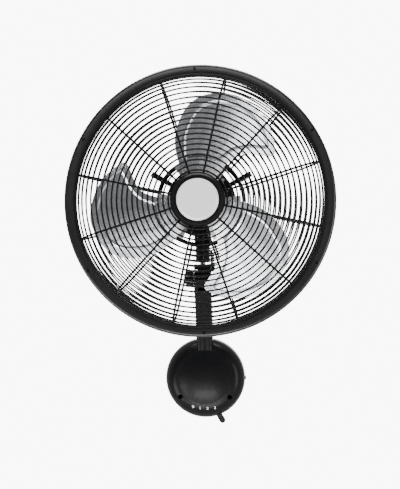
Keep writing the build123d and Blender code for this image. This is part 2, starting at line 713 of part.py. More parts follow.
# ---------------------------------------------------------------- tilt joint
def tilt_block():
    """Tongue in the arm's fork with the block above it that holds the upright shaft."""
    tongue_half = ARM_W / 2 - CHEEK_T - TONGUE_GAP
    round_end = Pos(PIVOT_Y, TILT_Z) * Circle(TONGUE_R)
    stem_mid = (TILT_Z + BLOCK_BOTTOM_Z) / 2 + CUT
    stem = Pos(PIVOT_Y, stem_mid) * Rectangle(TONGUE_D, BLOCK_BOTTOM_Z - TILT_Z)
    tongue = side_view(-tongue_half, tongue_half, round_end, stem)
    front, rear = PIVOT_Y - BLOCK_D / 2, PIVOT_Y + BLOCK_D / 2
    top = block(-ARM_W / 2, ARM_W / 2, front, rear, BLOCK_BOTTOM_Z, BLOCK_TOP_Z)
    top = fillet(top.edges().filter_by(Axis.Z), BLOCK_CORNER)
    ear = rod_z(LINK_W / 2 + EAR_WALL, BLOCK_BOTTOM_Z, BLOCK_TOP_Z, POST_X, PIVOT_Y + POST_DY)
    body = tongue + top + ear
    body = body - rod_x(TILT_BOLT_R + RUN_GAP, -ARM_W, ARM_W, PIVOT_Y, TILT_Z)
    body = body - rod_z(SHAFT_R + PRESS_GAP, SHAFT_FOOT_Z, BLOCK_TOP_Z + CUT)
    post_floor = BLOCK_BOTTOM_Z + POST_SEAT
    return body - rod_z(POST_R + PRESS_GAP, post_floor, BLOCK_TOP_Z + CUT, POST_X, PIVOT_Y + POST_DY)


def tilt_bolt():
    """Square-necked bolt with a domed head on the right, threaded into the knob on the left."""
    left = -ARM_W / 2 - KNOB_L + KNOB_STEP
    head_x = ARM_W / 2 + TILT_WASHER_T + 2 * SEAT_GAP
    return rod_x(TILT_BOLT_R, left, head_x + TILT_NUT_T + TILT_BOLT_PROUD, PIVOT_Y, TILT_Z)


def tilt_washers():
    washers = []
    for side in (-1, 1):
        x = side * (ARM_W / 2 + SEAT_GAP)
        ring = rod_x(TILT_WASHER_R, x, x + side * TILT_WASHER_T, PIVOT_Y, TILT_Z)
        washers.append(ring - rod_x(TILT_BOLT_R + RUN_GAP, -ARM_W, ARM_W, PIVOT_Y, TILT_Z))
    return washers


def tilt_nut():
    x = ARM_W / 2 + TILT_WASHER_T + 2 * SEAT_GAP
    hexagon = Plane((x, PIVOT_Y, TILT_Z), x_dir=(0, 1, 0), z_dir=(1, 0, 0)) * RegularPolygon(TILT_NUT_R, 6)
    return extrude(hexagon, TILT_NUT_T) - rod_x(TILT_BOLT_R + PRESS_GAP, 0, ARM_W, PIVOT_Y, TILT_Z)


def tilt_knob():
    """Ribbed hand knob on the left end of the tilt bolt."""
    x = -ARM_W / 2 - TILT_WASHER_T - 2 * SEAT_GAP - SIDE_GAP / 2
    plane = Plane((x, PIVOT_Y, TILT_Z), x_dir=(0, 1, 0), z_dir=(-1, 0, 0))
    grip = Circle(KNOB_R - KNOB_RIB_R)
    for k in range(KNOB_RIBS):
        angle = 360 * k / KNOB_RIBS
        grip = grip + Rot(0, 0, angle) * Pos(KNOB_R - KNOB_RIB_R, 0) * Circle(KNOB_RIB_R)
    knob = extrude(plane * grip, KNOB_L - KNOB_STEP)
    hub = extrude(plane * Circle(KNOB_HUB_R), KNOB_L)
    bore = rod_x(TILT_BOLT_R + PRESS_GAP, x + CUT, -ARM_W / 2 - KNOB_L + KNOB_BORE_FLOOR, PIVOT_Y, TILT_Z)
    return knob + hub - bore


# ---------------------------------------------------------------- swing joint
def pivot_shaft():
    groove_z = BUSH_TOP_Z + SIDE_GAP
    groove_top = groove_z + CLIP_T + CLIP_GROOVE_PLAY
    shaft = rod_z(SHAFT_R, SHAFT_FOOT_Z + 2 * SEAT_GAP, groove_z + CLIP_T + SHAFT_TIP)
    groove = rod_z(SHAFT_R + CUT, groove_z, groove_top)
    core = rod_z(SHAFT_R - CLIP_GROOVE, groove_z - CUT, groove_top + CUT)
    return shaft - (groove - core)


def pivot_clip():
    z = BUSH_TOP_Z + SIDE_GAP + CLIP_GROOVE_PLAY / 2
    top = z + CLIP_T
    ring = rod_z(CLIP_R, z, top) - rod_z(SHAFT_R - CLIP_GROOVE + PRESS_GAP, z - CUT, top + CUT)
    half = CLIP_MOUTH / 2
    return ring - block(0, CLIP_R + CUT, PIVOT_Y - half, PIVOT_Y + half, z - CUT, top + CUT)


def neck_bush():
    bush = rod_z(SHAFT_R + BUSH_WALL, NECK_BOTTOM_Z + SIDE_GAP, BUSH_TOP_Z)
    return bush - rod_z(SHAFT_R + RUN_GAP, NECK_BOTTOM_Z, BUSH_TOP_Z + CUT)


def neck():
    """Turned neck under the motor with a block that is shaped to the motor's barrel."""
    stem = rod_z(NECK_R, NECK_BOTTOM_Z, NECK_BLOCK_Z + NECK_R / 2)
    half_y = NECK_BLOCK_Y / 2
    saddle = block(-NECK_BLOCK_X / 2, NECK_BLOCK_X / 2, PIVOT_Y - half_y, MOTOR_REAR_Y - SEAT_GAP,
                   NECK_BLOCK_Z, FAN_Z - MOTOR_R + SADDLE_RISE)
    saddle = fillet(saddle.edges().filter_by(Axis.Z), SADDLE_CORNER)
    body = stem + saddle
    body = body - rod_y(MOTOR_R + SEAT_GAP, PIVOT_Y - half_y - CUT, MOTOR_REAR_Y + CUT)
    body = body - rod_z(SHAFT_R + BUSH_WALL + PRESS_GAP, NECK_BOTTOM_Z - CUT, BUSH_TOP_Z)
    return body - rod_z(CLIP_R + CLIP_ROOM, BUSH_TOP_Z, BUSH_TOP_Z + CLIP_POCKET_H)


# ---------------------------------------------------------------- motor
def bell(open_y, closed_y, seat_proud):
    """One half of the motor housing: a cup with vents and a seat for its bearing."""
    way = 1 if closed_y > open_y else -1
    wall = MOTOR_WALL
    cup = outline((0, open_y), (MOTOR_R, open_y), (MOTOR_R, closed_y - way * MOTOR_CORNER),
                  (MOTOR_R - MOTOR_CORNER, closed_y), (0, closed_y))
    hollow = outline((0, open_y - way), (MOTOR_R - wall, open_y - way),
                     (MOTOR_R - wall, closed_y - way * (MOTOR_CORNER + 1)),
                     (MOTOR_R - MOTOR_CORNER - 1, closed_y - way * wall), (0, closed_y - way * wall))
    shell = turned(cup) - turned(hollow)
    seat_r = BEARING_R + BEARING_SEAT_WALL
    lip_y = closed_y + way * (seat_proud - BEARING_LIP)
    shell = shell + rod_y(seat_r, lip_y - way * BEARING_T, lip_y + way * BEARING_LIP)
    bearing_depth = BEARING_T + BEARING_LIP
    shell = shell - rod_y(BEARING_R + PRESS_GAP, lip_y - way * bearing_depth, lip_y)
    reach = 2 * bearing_depth
    shell = shell - rod_y(MOTOR_SHAFT_R + SHAFT_ROOM, closed_y - reach, closed_y + reach)
    for cut in around_fan(vent_slot(closed_y), MOTOR_VENTS, VENT_FIRST_DEG):
        shell = shell - cut
    for x, z in through_bolt_places():
        shell = shell - rod_y(THROUGH_BOLT_R + SCREW_ROOM, closed_y - reach, closed_y + reach, x, z)
    return shell


def vent_slot(closed_y):
    """A radial slot with round ends through a housing's closed face."""
    y0, y1 = closed_y - VENT_CUT, closed_y + VENT_CUT
    ends = rod_y(VENT_HALF, y0, y1, VENT_FROM_R) + rod_y(VENT_HALF, y0, y1, VENT_TO_R)
    return ends + block(VENT_FROM_R, VENT_TO_R, y0, y1, FAN_Z - VENT_HALF, FAN_Z + VENT_HALF)


def through_bolt_places():
    """Places of the bolts that clamp the motor housing's halves over the core."""
    turns = [radians(360 * (k + 0.5) / THROUGH_BOLTS) for k in range(THROUGH_BOLTS)]
    return [(THROUGH_BOLT_AT * cos(turn), FAN_Z + THROUGH_BOLT_AT * sin(turn)) for turn in turns]


def motor_bolts():
    bolts = []
    head_y = MOTOR_FRONT_Y - SEAT_GAP
    for x, z in through_bolt_places():
        head = rod_y(THROUGH_BOLT_HEAD_R, head_y, head_y - THROUGH_BOLT_HEAD_T, x, z)
        bolts.append(rod_y(THROUGH_BOLT_R, MOTOR_REAR_Y, head_y, x, z) + head)
    return bolts


def stator_core():
    middle = (MOTOR_FRONT_Y + MOTOR_REAR_Y) / 2
    core = rod_y(STATOR_R, middle - STATOR_T / 2, middle + STATOR_T / 2)
    core = core - rod_y(STATOR_BORE_R, middle - STATOR_T, middle + STATOR_T)
    for x, z in through_bolt_places():
        core = core - rod_y(THROUGH_BOLT_R + SCREW_ROOM, middle - STATOR_T, middle + STATOR_T, x, z)
    return core


def windings():
    middle = (MOTOR_FRONT_Y + MOTOR_REAR_Y) / 2
    coils = []
    for way in (-1, 1):
        start = middle + way * (STATOR_T / 2 + SEAT_GAP)
        coil = rod_y(COIL_R, start, start + way * COIL_T)
        coils.append(coil - rod_y(COIL_BORE_R, start - way * CUT, start + way * (COIL_T + CUT)))
    return coils


def rotor_core():
    middle = (MOTOR_FRONT_Y + MOTOR_REAR_Y) / 2
    core = rod_y(STATOR_BORE_R - AIR_GAP, middle - STATOR_T / 2, middle + STATOR_T / 2)
    return core - rod_y(MOTOR_SHAFT_R + PRESS_GAP, middle - STATOR_T, middle + STATOR_T)


def bearing(closed_y, way, seat_proud):
    face = closed_y + way * (seat_proud - BEARING_LIP - BEARING_T - SEAT_GAP)
    ring = rod_y(BEARING_R, face, face + way * BEARING_T)
    return ring - rod_y(MOTOR_SHAFT_R + RUN_GAP, face - way * CUT, face + way * (BEARING_T + CUT))


def motor_shaft():
    worm_start = CRANK_Y - WORM_L / 2 - SEAT_GAP
    tail = rod_y(TAIL_R, worm_start, CRANK_Y + WORM_L / 2 + SHAFT_PROUD / 2)
    return rod_y(MOTOR_SHAFT_R, HUB_FRONT_Y - HUB_NUT_T - SHAFT_PROUD, worm_start) + tail


# ---------------------------------------------------------------- swing gear
def toothed(teeth, root_r, tip_r, thickness):
    """A plain spur wheel with straight tapered teeth, centred on the origin."""
    wheel = Circle(root_r)
    step = 2 * pi / teeth
    root_half = root_r * step * TOOTH_ROOT_SHARE / 2
    tip_half = tip_r * step * TOOTH_TIP_SHARE / 2
    foot = root_r - TOOTH_SUNK
    tooth = outline((foot, -root_half), (tip_r, -tip_half), (tip_r, tip_half), (foot, root_half))
    for k in range(teeth):
        wheel = wheel + Rot(0, 0, 360 * k / teeth) * tooth
    return extrude(Pos(0, 0, -thickness / 2) * wheel, thickness)


def worm():
    """Worm on the motor shaft's tail: grooves turned between the thread's crests."""
    y0 = CRANK_Y - WORM_L / 2
    pitch = WORM_L / WORM_TURNS
    body = rod_y(WORM_R, y0, y0 + WORM_L)
    for k in range(WORM_TURNS):
        y = y0 + pitch * (k + 0.5)
        root, tip = pitch * WORM_ROOT_SHARE / 2, pitch * WORM_TIP_SHARE / 2
        groove = outline((WORM_ROOT_R, y - root), (WORM_R + CUT, y - tip),
                         (WORM_R + CUT, y + tip), (WORM_ROOT_R, y + root))
        body = body - turned(groove)
    return body - rod_y(TAIL_R + PRESS_GAP, y0 - CUT, y0 + WORM_L + CUT)


def worm_wheel():
    """Worm wheel and pinion in one piece, on the rod of the pull knob."""
    tip = abs(WHEEL_X) - WORM_R - SIDE_GAP
    wheel = Pos(WHEEL_X, CRANK_Y, FAN_Z) * toothed(WHEEL_TEETH, tip - WORM_TOOTH_H, tip, WHEEL_T)
    pinion_tip = abs(WHEEL_X) * PINION_TEETH / (PINION_TEETH + WHEEL_TEETH)
    bottom = GEAR_Z - GEAR_T / 2
    pinion_root = pinion_tip - PINION_TOOTH_H
    pinion = toothed(PINION_TEETH, pinion_root, pinion_tip - GEAR_BACKLASH, GEAR_T)
    stem = rod_z(pinion_root, bottom, FAN_Z, WHEEL_X, CRANK_Y)
    body = wheel + Pos(WHEEL_X, CRANK_Y, GEAR_Z) * pinion + stem
    return body - rod_z(KNOB_PIN_R + RUN_GAP, bottom - CUT, FAN_Z + WHEEL_T, WHEEL_X, CRANK_Y)


def crank_gear():
    """Output gear and its upright shaft down to the crank."""
    tip = abs(WHEEL_X) * WHEEL_TEETH / (PINION_TEETH + WHEEL_TEETH)
    gear = toothed(WHEEL_TEETH, tip - WORM_TOOTH_H, tip - GEAR_BACKLASH, GEAR_T)
    return Pos(0, CRANK_Y, GEAR_Z) * gear + rod_z(CRANK_SHAFT_R, CRANK_Z - CRANK_T, GEAR_Z, 0, CRANK_Y)


def crank_pin_place():
    angle = radians(CRANK_REST_DEG)
    return CRANK_RUNG * cos(angle), CRANK_Y + CRANK_RUNG * sin(angle)


def plate_link(x0, y0, x1, y1, width, z0, z1):
    """A flat bar with round ends between two upright pins."""
    length = hypot(x1 - x0, y1 - y0)
    turn = degrees(atan2(y1 - y0, x1 - x0))
    ends = Circle(width / 2) + Pos(length, 0) * Circle(width / 2)
    bar = Pos(length / 2, 0) * Rectangle(length, width) + ends
    return extrude(Pos(x0, y0, z0) * Rot(0, 0, turn) * bar, z1 - z0)


def crank_arm():
    x, y = crank_pin_place()
    top = CRANK_Z
    arm_plate = plate_link(0, CRANK_Y, x, y, CRANK_W, top - CRANK_T, top)
    arm_plate = arm_plate - rod_z(CRANK_SHAFT_R + PRESS_GAP, top - CRANK_T - CUT, top + CUT, 0, CRANK_Y)
    return arm_plate + rod_z(CRANK_PIN_R, link_top() + OPEN_PIVOT_GAP, top - CRANK_T / 2, x, y)


def link_top():
    return CRANK_Z - CRANK_T - CRANK_LINK_GAP


def link_post():
    """Shouldered post on the tilt block that holds the fixed end of the link."""
    y = PIVOT_Y + POST_DY
    bottom = link_top() - LINK_T
    head_z = link_top() + SIDE_GAP
    post = rod_z(POST_R, BLOCK_BOTTOM_Z + POST_SEAT + 2 * SEAT_GAP, head_z, POST_X, y)
    collar = rod_z(POST_COLLAR_R, BLOCK_TOP_Z + SEAT_GAP, bottom - SIDE_GAP, POST_X, y)
    head = rod_z(POST_COLLAR_R, head_z, head_z + POST_HEAD_T, POST_X, y)
    return post + collar + head


def crank_link():
    x, y = crank_pin_place()
    bar = plate_link(POST_X, PIVOT_Y + POST_DY, x, y, LINK_W, link_top() - LINK_T, link_top())
    z0, z1 = link_top() - LINK_T - CUT, link_top() + CUT
    bar = bar - rod_z(POST_R + RUN_GAP, z0, z1, POST_X, PIVOT_Y + POST_DY)
    return bar - rod_z(CRANK_PIN_R + PIN_ROOM, z0, z1, x, y)


def case_box(grow):
    """The gear case's outside, or with a negative growth its inside."""
    gear_r = abs(WHEEL_X)
    x0 = WHEEL_X - gear_r + CASE_LEFT_CUT - grow
    x1 = gear_r + grow
    y1 = CRANK_Y + gear_r + grow
    z0 = GEAR_Z - GEAR_T / 2 - CASE_FLOOR_GAP - grow
    z1 = FAN_Z + WHEEL_T / 2 + CASE_HEAD_GAP + grow
    return x0, x1, y1, z0, z1


def gear_case():
    """Cast case behind the motor with the sleeve of the crank shaft below it."""
    x0, x1, y1, z0, z1 = case_box(CASE_WALL)
    front = MOTOR_REAR_Y + SEAT_GAP + CASE_MOTOR_GAP
    case = block(x0, x1, front, y1, z0, z1)
    case = fillet(case.edges().filter_by(Axis.Z), CASE_CORNER)
    ix0, ix1, iy1, iz0, iz1 = case_box(0)
    case = case - block(ix0, ix1, front + CASE_WALL, iy1, iz0, iz1)
    case = case + rod_z(SLEEVE_R, CRANK_Z + SIDE_GAP, z0 + CUT, 0, CRANK_Y)
    case = case - rod_z(CRANK_SHAFT_R + RUN_GAP, CRANK_Z - CUT, iz0 + CUT, 0, CRANK_Y)
    case = case - rod_z(KNOB_ROD_R + RUN_GAP, iz1 - CUT, z1 + CUT, WHEEL_X, CRANK_Y)
    return case - rod_y(MOTOR_SHAFT_R + CASE_SHAFT_ROOM, front - CUT, front + CASE_WALL + CUT)


def swing_knob():
    """Pull knob on its rod, down for swinging and up for still."""
    wheel_top = FAN_Z + WHEEL_T / 2
    head_z = FAN_Z + REAR_COVER_R - KNOB_SUNK
    rod = rod_z(KNOB_ROD_R, wheel_top + SIDE_GAP, head_z + CUT, WHEEL_X, CRANK_Y)
    pin = rod_z(KNOB_PIN_R, GEAR_Z, wheel_top + CUT, WHEEL_X, CRANK_Y)
    head = rod_z(PULL_KNOB_R, head_z, head_z + PULL_KNOB_T, WHEEL_X, CRANK_Y)
    head = fillet(head.edges(), PULL_KNOB_ROUND)
    return rod + pin + head


def rear_cover():
    """Domed shell over the gear case, open towards the motor."""
    front = MOTOR_REAR_Y + SEAT_GAP
    dome = cover_dome(0, front)
    body = dome - cover_dome(REAR_COVER_WALL, front)
    body = body - rod_z(SLEEVE_R + COVER_SLEEVE_ROOM, CRANK_Z, GEAR_Z, 0, CRANK_Y)
    body = body - rod_z(KNOB_ROD_R + COVER_ROD_ROOM, FAN_Z, FAN_Z + MOTOR_R, WHEEL_X, CRANK_Y)
    x, y0, y1 = LOUVRE_L / 2, REAR_COVER_Y - LOUVRE_CUT, REAR_COVER_Y + CUT
    for k in range(LOUVRES):
        z = FAN_Z + (k - (LOUVRES - 1) / 2) * LOUVRE_PITCH
        body = body - block(-x, x, y0, y1, z - LOUVRE_W / 2, z + LOUVRE_W / 2)
    return body


def cover_dome(wall, front):
    radius = REAR_COVER_R - wall
    back = REAR_COVER_Y - wall
    shoulder = COVER_SHOULDER - wall
    turn = shoulder * (1 - sin(pi / 4))
    side_end = (radius, back - shoulder)
    edge = (radius - shoulder, back)
    start = front - (CUT if wall > 0 else 0)
    lines = [
        Line((0, start), (radius, start)),
        Line((radius, start), side_end),
        ThreePointArc(side_end, (radius - turn, back - turn), edge),
        Line(edge, (0, back)),
        Line((0, back), (0, start)),
    ]
    return turned(make_face(Curve() + lines))


# ---------------------------------------------------------------- guard
def guard_flat():
    """Length of the wire's straight part, from the axis to the bend."""
    slope = radians(GUARD_CONE_DEG)
    bend_width = GUARD_BEND_R * (sin(radians(GUARD_BEND_END_DEG)) - sin(slope))
    return (GUARD_BEND_END_R - bend_width) / cos(slope)


def guard_point(s):
    """Radius, depth ahead of the rim plane and slope of the guard's wire at a length s from the axis."""
    slope = radians(GUARD_CONE_DEG)
    flat = guard_flat()
    bend_start_r = flat * cos(slope)
    if s <= flat:
        return s * cos(slope), GUARD_DEPTH - s * sin(slope), slope
    start_depth = GUARD_DEPTH - flat * sin(slope)
    angle = slope + (s - flat) / GUARD_BEND_R
    end = radians(GUARD_BEND_END_DEG)
    if angle <= end:
        r = bend_start_r + GUARD_BEND_R * (sin(angle) - sin(slope))
        return r, start_depth - GUARD_BEND_R * (cos(slope) - cos(angle)), angle
    rest = s - flat - GUARD_BEND_R * (end - slope)
    depth = start_depth - GUARD_BEND_R * (cos(slope) - cos(end))
    return GUARD_BEND_END_R + rest * cos(end), depth - rest * sin(end), end


def guard_length_to(depth):
    """Length along the wire at which it has come back to a depth ahead of the rim plane."""
    s = guard_flat()
    while guard_point(s)[1] > depth:
        s += LENGTH_STEP
    return s


def wire_ring(r, y, width, tilt):
    """A ring of square wire, tilted to lie flat on the spokes."""
    section = Pos(r, y) * Rot(0, 0, tilt) * Rectangle(width, width)
    return turned(section)


def ring_lengths(first_r):
    """Lengths along the wire at which a guard's rings sit, at an even pitch."""
    end = guard_length_to(RIM_WIDTH / 2 + RING_W + LAST_RING_GAP)
    count = int((end - first_r) / RING_PITCH) + 1
    return [first_r + k * (end - first_r) / (count - 1) for k in range(count)]


def face_rings(first_r, side):
    """Rings on a guard's flat face; side -1 is the front guard, +1 the rear one."""
    return guard_rings([s for s in ring_lengths(first_r) if s <= guard_flat()], side)


def side_rings(first_r, side):
    """Rings round a guard's bend and the heavy wire round its mouth."""
    bent = [s for s in ring_lengths(first_r) if s > guard_flat()]
    return guard_rings(bent, side) + [edge_ring(side)]


def guard_rings(lengths, side):
    """Rings on the outside of the spokes, one at each length."""
    offset = SPOKE_W / 2 + SEAT_GAP + RING_W / 2
    rings = []
    for s in lengths:
        r, depth, slope = guard_point(s)
        ring_r = r + offset * sin(slope)
        ring_y = RIM_Y + side * (depth + offset * cos(slope))
        rings.append(wire_ring(ring_r, ring_y, RING_W, -side * degrees(slope)))
    return rings


def edge_ring(side):
    """Heavy wire round the guard's mouth, outside the ends of the spokes."""
    r, _, slope = guard_point(guard_length_to(SPOKE_END_DEPTH))
    ring_r = r + SPOKE_W / 2 * sin(slope) + SEAT_GAP + EDGE_W / 2
    return wire_ring(ring_r, RIM_Y + side * (EDGE_W / 2 + SEAT_GAP), EDGE_W, 0)


def spoke(inner_r, side):
    """One wire from the guard's middle along the face, round the bend and into the rim band."""
    slope = radians(GUARD_CONE_DEG)
    flat = guard_flat()
    bend = GUARD_BEND_R * (radians(GUARD_BEND_END_DEG) - slope)
    end = guard_length_to(SPOKE_END_DEPTH)
    inner_s = inner_r / cos(slope)

    def at(s):
        r, depth, _ = guard_point(s)
        return r, RIM_Y + side * depth

    path = Curve() + [
        Line(at(inner_s), at(flat)),
        ThreePointArc(at(flat), at(flat + bend / 2), at(flat + bend)),
        Line(at(flat + bend), at(end)),
    ]
    face = trace(path, SPOKE_W)
    plane = FACING.offset(-SPOKE_W / 2)
    return extrude(plane * face, SPOKE_W)


def spokes(inner_r, side):
    return around_fan(spoke(inner_r, side), SPOKES, SPOKE_FIRST_DEG)


def rim_band():
    """Channel round both guards' edge rings, with rounded outer corners and two lips."""
    half = RIM_WIDTH / 2
    outer = Pos((RIM_LIP_R + GUARD_R) / 2, RIM_Y) * Rectangle(GUARD_R - RIM_LIP_R, RIM_WIDTH)
    outer = fillet(outer.vertices().group_by(Axis.X)[-1], RIM_ROUND)
    depth = GUARD_R - RIM_LIP_R - RIM_WALL
    inner = Pos(RIM_LIP_R + depth / 2, RIM_Y) * Rectangle(depth, RIM_WIDTH - 2 * RIM_WALL)
    inner = fillet(inner.vertices().group_by(Axis.X)[-1], RIM_ROUND - RIM_WALL)
    mouth = Pos(RIM_LIP_R, RIM_Y) * Rectangle(RIM_MOUTH, RIM_WIDTH - 2 * RIM_WALL)
    band = turned(outer - inner - mouth)
    for screw in rim_screw_rods(RIM_SCREW_R + RUN_GAP, -half - CUT, half + CUT):
        band = band - screw
    return band


def rim_screw_rods(radius, y0, y1):
    rod = rod_y(radius, RIM_Y + y0, RIM_Y + y1, RIM_SCREW_AT, FAN_Z)
    return around_fan(rod, RIM_SCREWS, RIM_SCREW_FIRST_DEG)


def rim_screws():
    half = RIM_WIDTH / 2
    screw = rod_y(RIM_SCREW_R, RIM_Y - half - SEAT_GAP, RIM_Y + half, RIM_SCREW_AT, FAN_Z)
    head_y = RIM_Y - half - SEAT_GAP
    screw = screw + rod_y(RIM_SCREW_HEAD_R, head_y, head_y - RIM_SCREW_HEAD_T, RIM_SCREW_AT, FAN_Z)
    return around_fan(screw, RIM_SCREWS, RIM_SCREW_FIRST_DEG)


def face_depth_at(r):
    """Depth ahead of the rim plane of the flat face's wire middle at a radius."""
    return GUARD_DEPTH - r * tan(radians(GUARD_CONE_DEG))


def centre_plate():
    """Pressed plate behind the inner ends of the front spokes."""
    back = RIM_Y - face_depth_at(CENTRE_PLATE_R) + SPOKE_W / 2 + SEAT_GAP
    front = back + CENTRE_PLATE_T
    plate = rod_y(CENTRE_PLATE_R, back, front)
    hole = rod_y(CAP_SCREW_R + SCREW_ROOM, back - CUT, front + CUT, CAP_SCREW_AT)
    for cut in around_fan(hole, CAP_SCREWS, CAP_SCREW_FIRST_DEG):
        plate = plate - cut
    return plate


def cap_front_y():
    return RIM_Y - GUARD_DEPTH - SPOKE_W / 2 - CAP_DEPTH


def centre_cap():
    """Round black cap over the spokes' inner ends, with a sunk seat for the disc."""
    back = RIM_Y - GUARD_DEPTH - SPOKE_W / 2 - SEAT_GAP
    front = cap_front_y()
    lip = (BADGE_R + CAP_R) / 2
    seat = front + BADGE_SEAT
    side = front + CAP_SIDE_FALL
    inside = side + CAP_WALL
    profile = outline((0, seat), (BADGE_R + BADGE_GAP, seat), (BADGE_R + 2 * BADGE_GAP, front + BADGE_GAP),
                      (lip, front), (CAP_R - CAP_EDGE_W, front + CAP_EDGE_FALL), (CAP_R, side),
                      (CAP_R, back), (CAP_R - CAP_WALL, back), (CAP_R - CAP_WALL, inside), (0, inside))
    cap = turned(profile)
    boss = rod_y(CAP_BOSS_R, back, side + CUT, CAP_SCREW_AT)
    for post in around_fan(boss, CAP_SCREWS, CAP_SCREW_FIRST_DEG):
        cap = cap + post
    bore = rod_y(CAP_SCREW_R + PRESS_GAP, back + CUT, side - CUT, CAP_SCREW_AT)
    for hole in around_fan(bore, CAP_SCREWS, CAP_SCREW_FIRST_DEG):
        cap = cap - hole
    return cap


def badge():
    """Slightly domed bare disc in the cap."""
    back = cap_front_y() + BADGE_SEAT - SEAT_GAP
    disc = rod_y(BADGE_R, back, back - BADGE_T - BADGE_DOME)
    return chamfer(disc.faces().sort_by(Axis.Y)[0].edges(), BADGE_CHAMFER)


def cap_screws():
    plate_back = RIM_Y - face_depth_at(CENTRE_PLATE_R) + SPOKE_W / 2 + SEAT_GAP + CENTRE_PLATE_T
    head_y = plate_back + SEAT_GAP
    screw = rod_y(CAP_SCREW_R, cap_front_y() + CAP_SIDE_FALL, head_y, CAP_SCREW_AT)
    screw = screw + rod_y(CAP_SCREW_R * 2, head_y, head_y + CAP_SCREW_HEAD_T, CAP_SCREW_AT)
    return around_fan(screw, CAP_SCREWS, CAP_SCREW_FIRST_DEG)


def inner_ring():
    """Heavy wire round the motor that carries the inner ends of the rear spokes."""
    slope = radians(GUARD_CONE_DEG)
    r = REAR_SPOKE_INNER_R + EDGE_W / 2 + LAST_RING_GAP
    seat = (SPOKE_W / 2 + SEAT_GAP + EDGE_W / 2) / cos(slope)
    y = RIM_Y + face_depth_at(r) + seat + SEAT_GAP
    return wire_ring(r, y, EDGE_W, 0)


def spider():
    """Three-armed bracket between the motor's front and the rear guard."""
    y = MOTOR_FRONT_Y - SEAT_GAP
    plane = Plane((0, y, FAN_Z), x_dir=(1, 0, 0), z_dir=(0, -1, 0))
    face = Circle(SPIDER_DISC_R)
    for k in range(SPIDER_ARMS):
        turn = Rot(0, 0, SPIDER_FIRST_DEG + 360 * k / SPIDER_ARMS)
        face = face + turn * Pos(SPIDER_REACH / 2, 0) * Rectangle(SPIDER_REACH, SPIDER_ARM_W)
        face = face + turn * Pos(SPIDER_REACH, 0) * Circle(SPIDER_ARM_W / 2)
    bore = Circle(BEARING_R + BEARING_SEAT_WALL + SPIDER_BORE_GAP)
    plate = extrude(plane * (face - bore), SPIDER_T)
    spacer_end = RIM_Y + face_depth_at(SPIDER_SCREW_AT) - SPOKE_W / 2 - SIDE_GAP
    spacer = rod_y(SPACER_R, y, spacer_end, SPIDER_SCREW_AT)
    for tube in around_fan(spacer, SPIDER_ARMS, SPIDER_FIRST_DEG):
        plate = plate + tube
    hole = rod_y(CLAMP_SCREW_R + SCREW_ROOM, y - SPIDER_T - CUT, spacer_end + CUT, SPIDER_SCREW_AT)
    for cut in around_fan(hole, SPIDER_ARMS, SPIDER_FIRST_DEG):
        plate = plate - cut
    return plate


def spider_screws():
    y = MOTOR_FRONT_Y - SEAT_GAP - SPIDER_T - SEAT_GAP
    head = rod_y(MOTOR_SCREW_HEAD_R, y, y - MOTOR_SCREW_HEAD_T, SPIDER_MOTOR_SCREW_AT)
    return around_fan(head, SPIDER_ARMS, SPIDER_FIRST_DEG)


def clamp_y():
    """Front face of the clamps, just behind the rings of the rear guard."""
    spoke_back = RIM_Y + face_depth_at(SPIDER_SCREW_AT - CLAMP_L / 2) + SPOKE_W / 2
    return spoke_back + RING_W + 2 * SEAT_GAP + SIDE_GAP


def guard_clamps():
    y = clamp_y()
    inner, outer = SPIDER_SCREW_AT - CLAMP_L / 2, SPIDER_SCREW_AT + CLAMP_L / 2
    half = CLAMP_W / 2
    clamp = block(inner, outer, y, y + CLAMP_T, FAN_Z - half, FAN_Z + half)
    clamp = clamp - rod_y(CLAMP_SCREW_R + SCREW_ROOM, y - CUT, y + CLAMP_T + CUT, SPIDER_SCREW_AT)
    return around_fan(clamp, SPIDER_ARMS, SPIDER_FIRST_DEG)


def clamp_screws():
    head_y = MOTOR_FRONT_Y - SEAT_GAP - SPIDER_T - SEAT_GAP
    clamp_back = clamp_y() + CLAMP_T
    screw = rod_y(CLAMP_SCREW_R, head_y, clamp_back + CLAMP_SCREW_END, SPIDER_SCREW_AT)
    screw = screw + rod_y(CLAMP_HEAD_R, head_y, head_y - CLAMP_HEAD_T, SPIDER_SCREW_AT)
    nut_y = clamp_back + SEAT_GAP
    screw = screw + rod_y(CLAMP_HEAD_R, nut_y, nut_y + CLAMP_NUT_T, SPIDER_SCREW_AT)
    return around_fan(screw, SPIDER_ARMS, SPIDER_FIRST_DEG)


# ---------------------------------------------------------------- blades
def knot_places(knots):
    """Places of knots that are given as a share of the blade's reach and an angle."""
    reach = BLADE_TIP_R - BLADE_ROOT_R
    polar = [(BLADE_ROOT_R + share * reach, radians(angle)) for share, angle in knots]
    return [(radius * cos(turn), radius * sin(turn)) for radius, turn in polar]


def drawn_in(places, inset):
    """Places of a closed outline, each moved inwards across the line between its neighbours."""
    moved = []
    for k, (x, y) in enumerate(places):
        x0, y0 = places[k - 1]
        x1, y1 = places[(k + 1) % len(places)]
        length = hypot(x1 - x0, y1 - y0)
        moved.append((x - inset * (y1 - y0) / length, y + inset * (x1 - x0) / length))
    return moved


def knotted_face(places):
    """A front view closed by an arc across the root."""
    (x0, y0), (x1, y1) = places[-1], places[0]
    middle = (atan2(y0, x0) + atan2(y1, x1)) / 2
    root_r = (hypot(x0, y0) + hypot(x1, y1)) / 2
    across = ThreePointArc((x0, y0), (root_r * cos(middle), root_r * sin(middle)), (x1, y1))
    return make_face(Curve() + [Spline(*places), across])


def blade_outline():
    """A blade with its middle line along +X: leading edge, hooked corner, tip and trailing edge."""
    return knotted_face(knot_places(BLADE_EDGE))


def panel_outline(inset):
    """The raised panel inside a blade's margin, or the hollow behind it."""
    return knotted_face(drawn_in(knot_places(BLADE_PANEL), inset))


